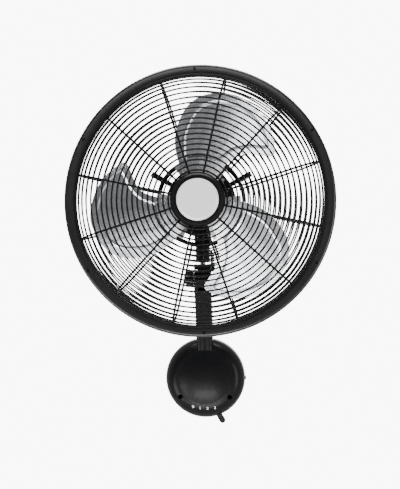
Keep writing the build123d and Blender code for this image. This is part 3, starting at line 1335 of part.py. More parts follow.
def sheet_centre():
    """Centre of the sheet's bend in tangent and depth."""
    pitch = radians(BLADE_PITCH_DEG)
    return BLADE_CURVE_R * sin(pitch), BLADE_MID_Y + BLADE_CURVE_R * cos(pitch)


def sheet_solid(sunk, thickness):
    """A bent, pitched sheet drawn out along the middle line, sunk below the blade's front face."""
    half_angle = asin(BLADE_HALF_CHORD / BLADE_CURVE_R)
    pitch = radians(BLADE_PITCH_DEG)
    centre_t, centre_y = sheet_centre()

    def at(radius, swing):
        return centre_t - radius * sin(pitch + swing), centre_y - radius * cos(pitch + swing)

    outer = BLADE_CURVE_R - sunk
    inner = outer - thickness
    face = make_face(Curve() + [
        ThreePointArc(at(outer, -half_angle), at(outer, 0), at(outer, half_angle)),
        Line(at(outer, half_angle), at(inner, half_angle)),
        ThreePointArc(at(inner, half_angle), at(inner, 0), at(inner, -half_angle)),
        Line(at(inner, -half_angle), at(outer, -half_angle)),
    ])
    plane = Plane((0, 0, FAN_Z), x_dir=(0, 0, 1), z_dir=(-1, 0, 0))
    return extrude(plane * face, -(BLADE_TIP_R + CUT))


def rivet_plane(radius, angle, sunk):
    """Plane on the sheet at a rivet, facing the viewer."""
    across = radius * sin(radians(angle))
    centre_t, centre_y = sheet_centre()
    swing = asin((centre_t - across) / BLADE_CURVE_R)
    depth = BLADE_CURVE_R - sunk
    x = radius * cos(radians(angle))
    point = (x, centre_y - depth * cos(swing), FAN_Z + centre_t - depth * sin(swing))
    return Plane(point, x_dir=(1, 0, 0), z_dir=(0, -cos(swing), -sin(swing)))


def rivet_holes():
    holes = None
    for radius, angle in RIVET_AT:
        hole = rivet_plane(radius, angle, 0) * Cylinder(RIVET_R + RUN_GAP, RIVET_CUT)
        holes = hole if holes is None else holes + hole
    return holes


def front_prism(face):
    """A front view drawn out through the whole depth between the guards."""
    plane = Plane((0, RIM_Y + GUARD_DEPTH, FAN_Z), x_dir=(1, 0, 0), z_dir=(0, -1, 0))
    return extrude(plane * face, 2 * GUARD_DEPTH)


def blade():
    """A stamped sheet with a margin round a raised panel, hollow behind like the stamping."""
    inner = panel_outline(BLADE_T)
    margin = sheet_solid(0, BLADE_T) & front_prism(blade_outline())
    margin = margin - front_prism(panel_outline(0))
    step = sheet_solid(-PANEL_RAISE, BLADE_T + PANEL_RAISE) & front_prism(panel_outline(0) - inner)
    panel = sheet_solid(-PANEL_RAISE, BLADE_T) & front_prism(inner)
    return margin + step + panel - rivet_holes()


def blades():
    return around_fan(blade(), BLADES, BLADE_MID_DEG)


def blade_hub():
    """Boss on the shaft with three pitched plates behind the blades' roots."""
    boss = rod_y(HUB_R, HUB_FRONT_Y, HUB_REAR_Y)
    middle_deg = (HUB_PLATE_FROM_DEG + HUB_PLATE_TO_DEG) / 2
    spread = [radians(a) for a in (HUB_PLATE_FROM_DEG, middle_deg, HUB_PLATE_TO_DEG)]
    low, mid, high = [(HUB_PLATE_R * cos(a), HUB_PLATE_R * sin(a)) for a in spread]
    sector = make_face(Curve() + [Line((0, 0), low), ThreePointArc(low, mid, high), Line(high, (0, 0))])
    plate = sheet_solid(BLADE_T + SEAT_GAP, HUB_PLATE_T) & front_prism(sector)
    plate = plate - rivet_holes()
    hub = boss
    for arm_plate in around_fan(plate, BLADES, BLADE_MID_DEG):
        hub = hub + arm_plate
    return hub - rod_y(MOTOR_SHAFT_R + PRESS_GAP, HUB_FRONT_Y - CUT, HUB_REAR_Y + CUT)


def blade_rivets():
    rivets = []
    back = BLADE_T + SEAT_GAP + HUB_PLATE_T + SEAT_GAP
    half_head = RIVET_HEAD_T / 2
    for radius, angle in RIVET_AT:
        shank_l = back + SEAT_GAP + CUT / 2
        shank = rivet_plane(radius, angle, (back - SEAT_GAP) / 2) * Cylinder(RIVET_R, shank_l)
        front = rivet_plane(radius, angle, -SEAT_GAP - half_head) * Cylinder(RIVET_HEAD_R, RIVET_HEAD_T)
        front = chamfer(front.edges(), RIVET_CHAMFER)
        tail = rivet_plane(radius, angle, back + half_head) * Cylinder(RIVET_TAIL_R, RIVET_HEAD_T)
        rivets += around_fan(shank + front + tail, BLADES, BLADE_MID_DEG)
    return rivets


def hub_nut():
    plane = Plane((0, HUB_FRONT_Y - SEAT_GAP, FAN_Z), x_dir=(1, 0, 0), z_dir=(0, -1, 0))
    bore_end = HUB_FRONT_Y - HUB_NUT_T - 2 * CUT
    bore = rod_y(MOTOR_SHAFT_R + PRESS_GAP, HUB_FRONT_Y + CUT, bore_end)
    return extrude(plane * RegularPolygon(HUB_NUT_R, 6), HUB_NUT_T) - bore


# ---------------------------------------------------------------- all pieces
def main():
    os.makedirs("parts", exist_ok=True)
    write("wall_plate", wall_plate())
    write("base_cover", base_cover())
    write("base_cover_screws", *cover_screws())
    write("foot_bolts", *foot_bolts())
    write("speed_switch", switch_body())
    write("switch_spindle", switch_spindle())
    write("speed_lever", speed_lever())
    write("run_capacitor", capacitor())
    write("capacitor_strap", capacitor_strap())
    write("terminal_block", terminal_block())
    write("cable_grommet", cable_grommet())
    write("arm", arm())
    write("arm_rear_lid", arm_lid())
    write("arm_lid_screws", *arm_lid_screws())
    write("tilt_block", tilt_block())
    write("tilt_bolt", tilt_bolt())
    write("tilt_washers", *tilt_washers())
    write("tilt_nut", tilt_nut())
    write("tilt_knob", tilt_knob())
    write("pivot_shaft", pivot_shaft())
    write("pivot_clip", pivot_clip())
    write("neck_bush", neck_bush())
    write("neck", neck())
    write("motor_front_bell", bell(MOTOR_SPLIT_Y, MOTOR_FRONT_Y, FRONT_SEAT_PROUD))
    write("motor_rear_bell", bell(MOTOR_SPLIT_Y + SEAT_GAP, MOTOR_REAR_Y, 0))
    write("motor_bolts", *motor_bolts())
    write("stator_core", stator_core())
    write("stator_windings", *windings())
    write("rotor_core", rotor_core())
    write("motor_shaft", motor_shaft())
    front_bearing = bearing(MOTOR_FRONT_Y, -1, FRONT_SEAT_PROUD)
    write("motor_bearings", front_bearing, bearing(MOTOR_REAR_Y, 1, 0))
    write("worm", worm())
    write("worm_wheel", worm_wheel())
    write("crank_gear", crank_gear())
    write("crank_arm", crank_arm())
    write("crank_link", crank_link())
    write("link_post", link_post())
    write("gear_case", gear_case())
    write("swing_knob", swing_knob())
    write("motor_rear_cover", rear_cover())
    write("rear_guard_rings", *face_rings(REAR_RING_FIRST_R, 1), inner_ring())
    write("rear_side_rings", *side_rings(REAR_RING_FIRST_R, 1))
    write("rear_guard_spokes", *spokes(REAR_SPOKE_INNER_R, 1))
    write("front_guard_rings", *face_rings(FRONT_RING_FIRST_R, -1))
    write("front_side_rings", *side_rings(FRONT_RING_FIRST_R, -1))
    write("front_guard_spokes", *spokes(SPOKE_INNER_R, -1))
    write("rim_band", rim_band())
    write("rim_screws", *rim_screws())
    write("guard_spider", spider())
    write("guard_clamps", *guard_clamps())
    write("guard_screws", *spider_screws(), *clamp_screws(), *cap_screws())
    write("front_centre_plate", centre_plate())
    write("centre_cap", centre_cap())
    write("badge_disc", badge())
    for number, one_blade in enumerate(blades(), 1):
        write(f"blade_{number}", one_blade)
    write("blade_hub", blade_hub())
    write("blade_rivets", *blade_rivets())
    write("hub_nut", hub_nut())


if __name__ == "__main__":
    main()
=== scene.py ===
"""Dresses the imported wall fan: round guard wire, stamped blades, coated metal and plastic.

Lengths are metres in the fan's own frame: the wall is the plane y = 0, the fan looks along -Y,
+Z is up, and the fan turns about an axis along Y at FAN_Z.
"""

from __future__ import annotations

import json
import logging
import math
from dataclasses import dataclass
from enum import Enum
from functools import cache
from typing import ClassVar, Sequence

import bpy
from mathutils import Euler, Matrix, Vector

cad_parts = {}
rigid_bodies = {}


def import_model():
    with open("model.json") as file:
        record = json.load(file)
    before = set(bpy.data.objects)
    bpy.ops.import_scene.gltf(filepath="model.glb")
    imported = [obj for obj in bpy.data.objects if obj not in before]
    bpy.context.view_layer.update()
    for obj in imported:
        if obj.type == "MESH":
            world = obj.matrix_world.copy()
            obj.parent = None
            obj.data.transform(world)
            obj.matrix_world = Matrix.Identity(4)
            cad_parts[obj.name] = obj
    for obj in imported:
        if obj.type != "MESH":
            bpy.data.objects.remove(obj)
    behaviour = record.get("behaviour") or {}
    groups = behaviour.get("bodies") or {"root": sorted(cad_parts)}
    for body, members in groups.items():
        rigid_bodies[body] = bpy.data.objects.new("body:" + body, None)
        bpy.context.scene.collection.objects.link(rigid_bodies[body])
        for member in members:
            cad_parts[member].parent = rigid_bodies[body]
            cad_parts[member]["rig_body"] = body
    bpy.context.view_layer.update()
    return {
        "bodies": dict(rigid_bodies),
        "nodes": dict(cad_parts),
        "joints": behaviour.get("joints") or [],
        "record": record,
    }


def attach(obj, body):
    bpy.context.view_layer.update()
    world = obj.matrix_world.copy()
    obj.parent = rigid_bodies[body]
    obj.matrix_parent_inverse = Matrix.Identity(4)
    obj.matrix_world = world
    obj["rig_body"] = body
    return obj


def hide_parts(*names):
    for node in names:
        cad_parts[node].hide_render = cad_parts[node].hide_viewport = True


LOG = logging.getLogger("wall_fan")
MM = 0.001
FAN_Z = 390 * MM
RIM_Y = -265 * MM
MERGE = 1e-6           # points closer than this are one point
RING_STEPS = 144       # steps round a ring of wire
WIRE_SIDES = 10        # sides of a thin wire's section
SPOKE_SIDES = 12
EDGE_SIDES = 16        # sides of a heavy wire's section
BEND_STEPS = 14        # steps in a spoke's bend
Point2 = tuple[float, float]
Place = tuple[float, float, float]
Colour = tuple[float, float, float, float]
Piece = bpy.types.Object
Node = bpy.types.Node
Tree = bpy.types.NodeTree
Wire = tuple[Node, int | str, Node, int | str]


class Side(Enum):
    """Which half of the guard a piece belongs to; the value is the sign of its depth."""

    FRONT = -1
    REAR = 1


# ---------------- bench tools


def deselect() -> None:
    """Leaves edit mode and deselects everything."""
    if bpy.context.object is not None and bpy.context.object.mode != "OBJECT":
        bpy.ops.object.mode_set(mode="OBJECT")
    bpy.ops.object.select_all(action="DESELECT")


def activate(piece: Piece) -> None:
    """Makes a piece the only selected one and the active one."""
    deselect()
    piece.select_set(True)
    bpy.context.view_layer.objects.active = piece


def edit(piece: Piece) -> None:
    """Opens a piece in edit mode with all of it selected."""
    activate(piece)
    bpy.ops.object.mode_set(mode="EDIT")
    bpy.ops.mesh.select_mode(type="VERT")
    bpy.ops.mesh.select_all(action="SELECT")


def close_edit() -> None:
    """Goes back to object mode."""
    bpy.ops.object.mode_set(mode="OBJECT")


def settle(piece: Piece, name: str) -> Piece:
    """Names a piece and moves its place into its mesh.

    Args:
        piece: The object to settle.
        name: Its name in the table of pieces.

    Returns:
        The same object, at the origin.
    """
    activate(piece)
    bpy.ops.object.transform_apply(location=True, rotation=True, scale=True)
    piece.name = name
    piece.data.name = name
    return piece


def tidy_faces(piece: Piece, distance: float = MERGE) -> None:
    """Merges points that lie within the distance and turns the faces outwards."""
    edit(piece)
    bpy.ops.mesh.remove_doubles(threshold=distance)
    bpy.ops.mesh.normals_make_consistent(inside=False)
    close_edit()


def apply_modifier(piece: Piece, kind: str, **settings: object) -> None:
    """Adds a modifier with the given settings and applies it."""
    activate(piece)
    modifier = piece.modifiers.new(kind.title(), kind)
    for key, value in settings.items():
        setattr(modifier, key, value)
    bpy.ops.object.modifier_apply(modifier=modifier.name)


def throw_onto(piece: Piece, ground: Piece) -> None:
    """Moves each point of a piece along +Y until it lies on the ground piece."""
    apply_modifier(
        piece, "SHRINKWRAP", target=ground, wrap_method="PROJECT", use_project_y=True,
        use_negative_direction=False, use_positive_direction=True,
    )


def push(piece: Piece, y: float) -> None:
    """Moves a piece's mesh along Y within its own frame."""
    edit(piece)
    bpy.ops.transform.translate(value=(0, y, 0))
    close_edit()


def smooth(piece: Piece, degrees: float = 35.0) -> None:
    """Shades smoothly over the edges that turn less than the angle."""
    activate(piece)
    bpy.ops.object.shade_smooth_by_angle(angle=math.radians(degrees))


def join(pieces: Sequence[Piece], name: str) -> Piece:
    """Joins pieces into the first of them.

    Args:
        pieces: The objects to join.
        name: The joined object's name.

    Returns:
        The joined object.
    """
    activate(pieces[0])
    for piece in pieces:
        piece.select_set(True)
    bpy.ops.object.join()
    return settle(bpy.context.object, name)


def copy_turned(piece: Piece, degrees: float) -> Piece:
    """A copy with its own mesh, turned about the fan axis, anticlockwise as the viewer sees it."""
    copy = piece.copy()
    copy.data = piece.data.copy()
    bpy.context.scene.collection.objects.link(copy)
    centre = Vector((0, 0, FAN_Z))
    turn = Matrix.Rotation(math.radians(-degrees), 4, "Y")
    copy.data.transform(Matrix.Translation(centre) @ turn @ Matrix.Translation(-centre))
    return copy


def around_fan(piece: Piece, angles: Sequence[float], name: str) -> Piece:
    """Copies a piece to each angle about the fan axis and joins the copies; the pattern piece goes."""
    copies = [copy_turned(piece, angle) for angle in angles]
    bpy.data.objects.remove(piece)
    return join(copies, name)


def draw_line(points: Sequence[Vector], closed: bool) -> Piece:
    """Draws a line of edges through points.

    Args:
        points: The corners in order.
        closed: Whether the last corner joins the first.

    Returns:
        The object that holds the edges.
    """
    deselect()
    bpy.ops.mesh.primitive_plane_add(size=MM, location=points[0])
    piece = bpy.context.object
    bpy.ops.object.transform_apply(location=True, rotation=True, scale=True)
    edit(piece)
    bpy.ops.mesh.merge(type="CENTER")
    here = points[0]
    for there in list(points[1:]) + ([points[0]] if closed else []):
        bpy.ops.mesh.extrude_region_move(TRANSFORM_OT_translate={"value": there - here})
        here = there
    bpy.ops.mesh.select_all(action="SELECT")
    bpy.ops.mesh.remove_doubles(threshold=1e-7)
    close_edit()
    return piece


def lathe(name: str, points: Sequence[Point2], closed: bool = True, steps: int = 128) -> Piece:
    """Spins a profile once round the fan axis.

    Args:
        name: The piece's name.
        points: Radius and depth of each corner of the profile.
        closed: Whether the profile is a closed loop.
        steps: Number of steps in the turn.

    Returns:
        The turned piece with its faces outwards.
    """
    piece = draw_line([Vector((radius, depth, FAN_Z)) for radius, depth in points], closed)
    edit(piece)
    bpy.ops.mesh.spin(steps=steps, angle=2 * math.pi, center=(0, 0, FAN_Z), axis=(0, 1, 0))
    close_edit()
    tidy_faces(piece)
    return settle(piece, name)


def arc_points(
    centre: Point2, radius: float, start: float, end: float, steps: int = 8
) -> list[Point2]:
    """Points of an arc in radius and depth, from one angle to another in degrees."""
    points = []
    for step in range(steps + 1):
        angle = math.radians(start + (end - start) * step / steps)
        points.append((centre[0] + radius * math.cos(angle), centre[1] + radius * math.sin(angle)))
    return points


def dress(
    piece: Piece,
    finish: bpy.types.Material,
    body: str,
    nodes: Sequence[str] = (),
) -> Piece:
    """Gives a piece its finish, the body that it rides on and the nodes it stands for."""
    piece.data.materials.clear()
    piece.data.materials.append(finish)
    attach(piece, body)
    if nodes:
        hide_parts(*nodes)
    LOG.info("%s: %d faces on %s", piece.name, len(piece.data.polygons), body)
    return piece


# ---------------- finishes


def add_node(tree: Tree, kind: str, operation: str = "", **values: object) -> Node:
    """Adds a shader node.

    Args:
        tree: The tree that it goes into.
        kind: The node's type after ShaderNode.
        operation: What a Math node does.
        values: Value of each input, by the input's name with _ for a space.
    """
    node = tree.nodes.new(f"ShaderNode{kind}")
    if operation:
        node.operation = operation
    for label, value in values.items():
        node.inputs[label.replace("_", " ")].default_value = value
    return node


def connect(tree: Tree, *wires: Wire) -> None:
    """Links an output of one node to an input of another for each wire."""
    for source, output, target, entry in wires:
        tree.links.new(source.outputs[output], target.inputs[entry])


def open_group(
    name: str, inputs: dict[str, float], outputs: Sequence[str]
) -> tuple[Tree, Node, Node]:
    """Starts a node group with a Vector input, number inputs with their usual values, and outputs.

    Args:
        name: The group's name.
        inputs: The usual value of each number input.
        outputs: The outputs' names.

    Returns:
        The group, its input node and its output node.
    """
    tree = bpy.data.node_groups.new(name, "ShaderNodeTree")
    tree.interface.new_socket("Vector", in_out="INPUT", socket_type="NodeSocketVector")
    for label, value in inputs.items():
        socket = tree.interface.new_socket(label, in_out="INPUT", socket_type="NodeSocketFloat")
        socket.default_value = value
    for label in outputs:
        tree.interface.new_socket(label, in_out="OUTPUT", socket_type="NodeSocketFloat")
    return tree, tree.nodes.new("NodeGroupInput"), tree.nodes.new("NodeGroupOutput")


def wander(tree: Tree, start: Node, noise: Node) -> Node:
    """Spreads a noise about the group's Roughness, as far as its Spread says."""
    centred = add_node(tree, "Math", "SUBTRACT")
    centred.inputs[1].default_value = 0.5
    spread = add_node(tree, "Math", "MULTIPLY_ADD")
    connect(
        tree, (noise, "Fac", centred, 0), (centred, 0, spread, 0),
        (start, "Spread", spread, 1), (start, "Roughness", spread, 2),
    )
    return spread


@cache
def grain_group() -> Tree:
    """Fine grain: a height for a bump and a roughness that wanders about its middle."""
    inputs = {"Scale": 900.0, "Roughness": 0.4, "Spread": 0.1}
    tree, start, end = open_group("surface_grain", inputs, ("Height", "Rough"))
    fine = add_node(tree, "TexNoise", Detail=2.0)
    broad = add_node(tree, "TexNoise", Scale=14.0, Detail=4.0)
    connect(
        tree, (start, "Vector", fine, "Vector"), (start, "Vector", broad, "Vector"),
        (start, "Scale", fine, "Scale"), (fine, "Fac", end, "Height"),
        (wander(tree, start, broad), 0, end, "Rough"),
    )
    return tree


@cache
def streak_group() -> Tree:
    """Brushed or rolled lines: a noise stretched along X, as a height and a roughness."""
    inputs = {"Scale": 700.0, "Stretch": 0.02, "Roughness": 0.3, "Spread": 0.2}
    tree, start, end = open_group("rolled_streaks", inputs, ("Height", "Rough"))
    split = add_node(tree, "SeparateXYZ")
    squeeze = add_node(tree, "Math", "MULTIPLY")
    merge = add_node(tree, "CombineXYZ")
    noise = add_node(tree, "TexNoise", Detail=3.0)
    connect(
        tree, (start, "Vector", split, 0), (split, "X", squeeze, 0), (start, "Stretch", squeeze, 1),
        (squeeze, 0, merge, "X"), (split, "Y", merge, "Y"), (split, "Z", merge, "Z"),
        (merge, 0, noise, "Vector"), (start, "Scale", noise, "Scale"), (noise, "Fac", end, "Height"),
        (wander(tree, start, noise), 0, end, "Rough"),
    )
    return tree


@cache
def wear_group() -> Tree:
    """Dust and rub marks: a sparse, sharp mask that mixes a coat's colour with a paler one."""
    tree, start, end = open_group("dust_and_rub", {"Scale": 60.0, "Amount": 0.2}, ("Mask",))
    noise = add_node(tree, "TexNoise", Detail=8.0, Roughness=0.7)
    ramp = add_node(tree, "MapRange", From_Min=0.55, From_Max=0.8)
    amount = add_node(tree, "Math", "MULTIPLY")
    connect(
        tree, (start, "Vector", noise, "Vector"), (start, "Scale", noise, "Scale"),
        (noise, "Fac", ramp, "Value"), (ramp, "Result", amount, 0), (start, "Amount", amount, 1),
        (amount, 0, end, "Mask"),
    )
    return tree


@dataclass(frozen=True)
class Finish:
    """A surface finish: a coated, moulded or bare surface with grain and a little wear.

    Attributes:
        name: The material's name.
        colour: Base colour.
        roughness: Middle roughness.
        metallic: 1 for bare metal.
        coat: Weight of a clear coat.
        specular: Strength of the surface's own reflection, 0.5 for plain paint.
        grain_scale: Scale of the fine grain, per metre.
        grain_height: Depth of the grain in metres.
        spread: How far the roughness wanders.
        streaked: Whether the grain is drawn out along X.
        dust: Amount of the paler dust and rub marks.
        dust_colour: Colour of the marks.
        coat_roughness: Roughness of every clear coat.
        bump_strength: How strongly every finish's grain shows.
    """

    name: str
    colour: Colour
    roughness: float
    metallic: float = 0.0
    coat: float = 0.0
    specular: float = 0.5
    grain_scale: float = 900.0
    grain_height: float = 0.00003
    spread: float = 0.1
    streaked: bool = False
    dust: float = 0.0
    dust_colour: Colour = (0.35, 0.34, 0.32, 1.0)
    coat_roughness: ClassVar[float] = 0.12
    bump_strength: ClassVar[float] = 0.6

    def material(self) -> bpy.types.Material:
        """Builds the finish as a node material, or finds the one that was built before."""
        found = bpy.data.materials.get(self.name)
        if found is not None and found.get("finish"):
            return found
        material = bpy.data.materials.new(self.name)
        material["finish"] = True
        material.use_nodes = True
        tree = material.node_tree
        shader = tree.nodes["Principled BSDF"]
        shader.inputs["Base Color"].default_value = self.colour
        shader.inputs["Metallic"].default_value = self.metallic
        shader.inputs["Coat Weight"].default_value = self.coat
        shader.inputs["Coat Roughness"].default_value = self.coat_roughness
        shader.inputs["Specular IOR Level"].default_value = self.specular
        place = add_node(tree, "TexCoord")
        grain = add_node(tree, "Group")
        grain.node_tree = streak_group() if self.streaked else grain_group()
        grain.inputs["Scale"].default_value = self.grain_scale
        grain.inputs["Roughness"].default_value = self.roughness
        grain.inputs["Spread"].default_value = self.spread
        bump = add_node(tree, "Bump", Distance=self.grain_height, Strength=self.bump_strength)
        connect(
            tree, (place, "Object", grain, "Vector"), (grain, "Height", bump, "Height"),
            (bump, "Normal", shader, "Normal"), (grain, "Rough", shader, "Roughness"),
        )
        if self.dust > 0:
            self._add_dust(tree, place, shader)
        return material

    def _add_dust(self, tree: Tree, place: Node, shader: Node) -> None:
        """Mixes the dust colour over the base colour through the wear mask."""
        wear = add_node(tree, "Group")
        wear.node_tree = wear_group()
        wear.inputs["Amount"].default_value = self.dust
        mix = add_node(tree, "Mix")
        mix.data_type = "RGBA"
        mix.inputs["A"].default_value = self.colour
        mix.inputs["B"].default_value = self.dust_colour
        connect(
            tree, (place, "Object", wear, "Vector"), (wear, "Mask", mix, "Factor"),
            (mix, "Result", shader, "Base Color"),
        )


BLACK = (0.004, 0.004, 0.0045, 1.0)
BLACK_COAT = Finish("black_satin_coat", BLACK, 0.30, coat=0.02, specular=0.10, spread=0.1, dust=0.008)
RIM_COAT = Finish("black_rim_coat", BLACK, 0.30, coat=0.06, specular=0.45, spread=0.1, dust=0.008)
BLACK_WIRE = Finish("black_gloss_wire", BLACK, 0.34, specular=0.1, grain_scale=500.0)
BLACK_PLASTIC = Finish("black_matt_plastic", BLACK, 0.50, specular=0.2, grain_scale=1600.0)
RUBBER = Finish("grommet_rubber", (0.010, 0.010, 0.010, 1.0), 0.75, grain_scale=700.0)
BLADE_SHEET = Finish(
    "rolled_aluminium", (0.74, 0.76, 0.79, 1.0), 0.24, metallic=1.0, spread=0.08, streaked=True,
    grain_scale=420.0, grain_height=0.000001,
)
DISC_SHEET = Finish(
    "brushed_disc", (0.93, 0.93, 0.92, 1.0), 0.46, metallic=0.75, coat=0.2, spread=0.2, streaked=True,
    grain_scale=900.0, grain_height=0.00002,
)
ZINC = Finish("zinc_plated_steel", (0.60, 0.61, 0.63, 1.0), 0.33, metallic=1.0, spread=0.15, dust=0.08)
RIVET = Finish("rivet_aluminium", (0.82, 0.83, 0.84, 1.0), 0.30, metallic=1.0, grain_scale=600.0)
HUB_STEEL = Finish("hub_steel", (0.42, 0.42, 0.43, 1.0), 0.38, metallic=1.0, spread=0.15)
CORE_STEEL = Finish(
    "stacked_core_steel", (0.30, 0.30, 0.32, 1.0), 0.45, metallic=1.0, streaked=True, grain_scale=1200.0
)
BRONZE = Finish("sintered_bronze", (0.50, 0.33, 0.16, 1.0), 0.42, metallic=1.0, grain_scale=1500.0)
COPPER = Finish("winding_copper", (0.56, 0.22, 0.09, 1.0), 0.35, metallic=1.0, coat=0.4, streaked=True)
CASE_ALLOY = Finish(
    "cast_case_alloy", (0.50, 0.51, 0.52, 1.0), 0.50, metallic=1.0, grain_height=0.00008
)
CAN = Finish("capacitor_can", (0.62, 0.62, 0.60, 1.0), 0.45, dust=0.1)
PRINT = Finish("white_print", (0.85, 0.85, 0.84, 1.0), 0.50, grain_height=0.00001)
FLOOR_PAINT = Finish("studio_pale", (0.80, 0.80, 0.79, 1.0), 0.8, grain_scale=4.0)


# ---------------- guard


@dataclass
class GuardShape:
    """The curve that the guard's wires follow, as radius against depth from the rim's plane.

    A wire runs from the middle outwards on a shallow cone, then bends towards the rim. Distances
    along it are measured from the fan axis.

    Attributes:
        depth: Depth at which the cone would meet the fan axis.
        cone: Slope of the straight part.
        bend: Radius of the bend.
        bend_end: Slope at the end of the bend.
        end_radius: Radius at the end of the bend.
        rim_half: Half the width of the rim band.
        rim_gap: Room between the rim band and the last ring.
        spoke: Thickness of a spoke.
        ring: Thickness of a ring.
        pitch: About how far apart the rings stand.
        seat: Gap where two wires are welded.
        stride: How finely a distance along the wire is searched.
    """

    depth: float = 62 * MM
    cone: float = math.radians(1.2)
    bend: float = 56 * MM
    bend_end: float = math.radians(76)
    end_radius: float = 249.5 * MM
    rim_half: float = 8.7 * MM
    rim_gap: float = 1 * MM
    spoke: float = 4.2 * MM
    ring: float = 3.5 * MM
    pitch: float = 10 * MM
    seat: float = 0.05 * MM
    stride: float = 0.25 * MM

    def bend_start(self) -> float:
        """Radius at which the bend begins."""
        return self.end_radius - self.bend * (math.sin(self.bend_end) - math.sin(self.cone))

    def bend_centre(self) -> Point2:
        """Radius and depth of the bend's centre."""
        radius = self.bend_start() - self.bend * math.sin(self.cone)
        depth = self.depth - self.bend_start() * math.tan(self.cone) - self.bend * math.cos(self.cone)
        return radius, depth

    def straight(self) -> float:
        """Length of the straight part, from the axis."""
        return self.bend_start() / math.cos(self.cone)

    def place(self, length: float) -> Place:
        """Radius, depth and slope of the wire's middle at a distance along it."""
        if length <= self.straight():
            radius = length * math.cos(self.cone)
            return radius, self.depth - radius * math.tan(self.cone), self.cone
        slope = min(self.bend_end, self.cone + (length - self.straight()) / self.bend)
        centre_radius, centre_depth = self.bend_centre()
        radius = centre_radius + self.bend * math.sin(slope)
        depth = centre_depth + self.bend * math.cos(slope)
        rest = length - self.straight() - self.bend * (self.bend_end - self.cone)
        if rest > 0:
            radius += rest * math.cos(self.bend_end)
            depth -= rest * math.sin(self.bend_end)
        return radius, depth, slope

    def length_to(self, depth: float) -> float:
        """Distance along the wire at which it has come back to a depth."""
        length = self.end_radius
        while self.place(length)[1] > depth:
            length += self.stride
        return length

    def ring_places(self, first: float) -> list[Point2]:
        """Radius and depth of each ring's wire, from the first one out to the rim.

        Args:
            first: Distance along the wire of the innermost ring.

        Returns:
            Radius and depth of each ring's middle.
        """
        offset = self.spoke / 2 + self.seat + self.ring / 2
        last = self.length_to(self.rim_half + self.ring + self.rim_gap)
        count = int((last - first) / self.pitch) + 1
        places = []
        for index in range(count):
            radius, depth, slope = self.place(first + index * (last - first) / (count - 1))
            places.append((radius + offset * math.sin(slope), depth + offset * math.cos(slope)))
        return places


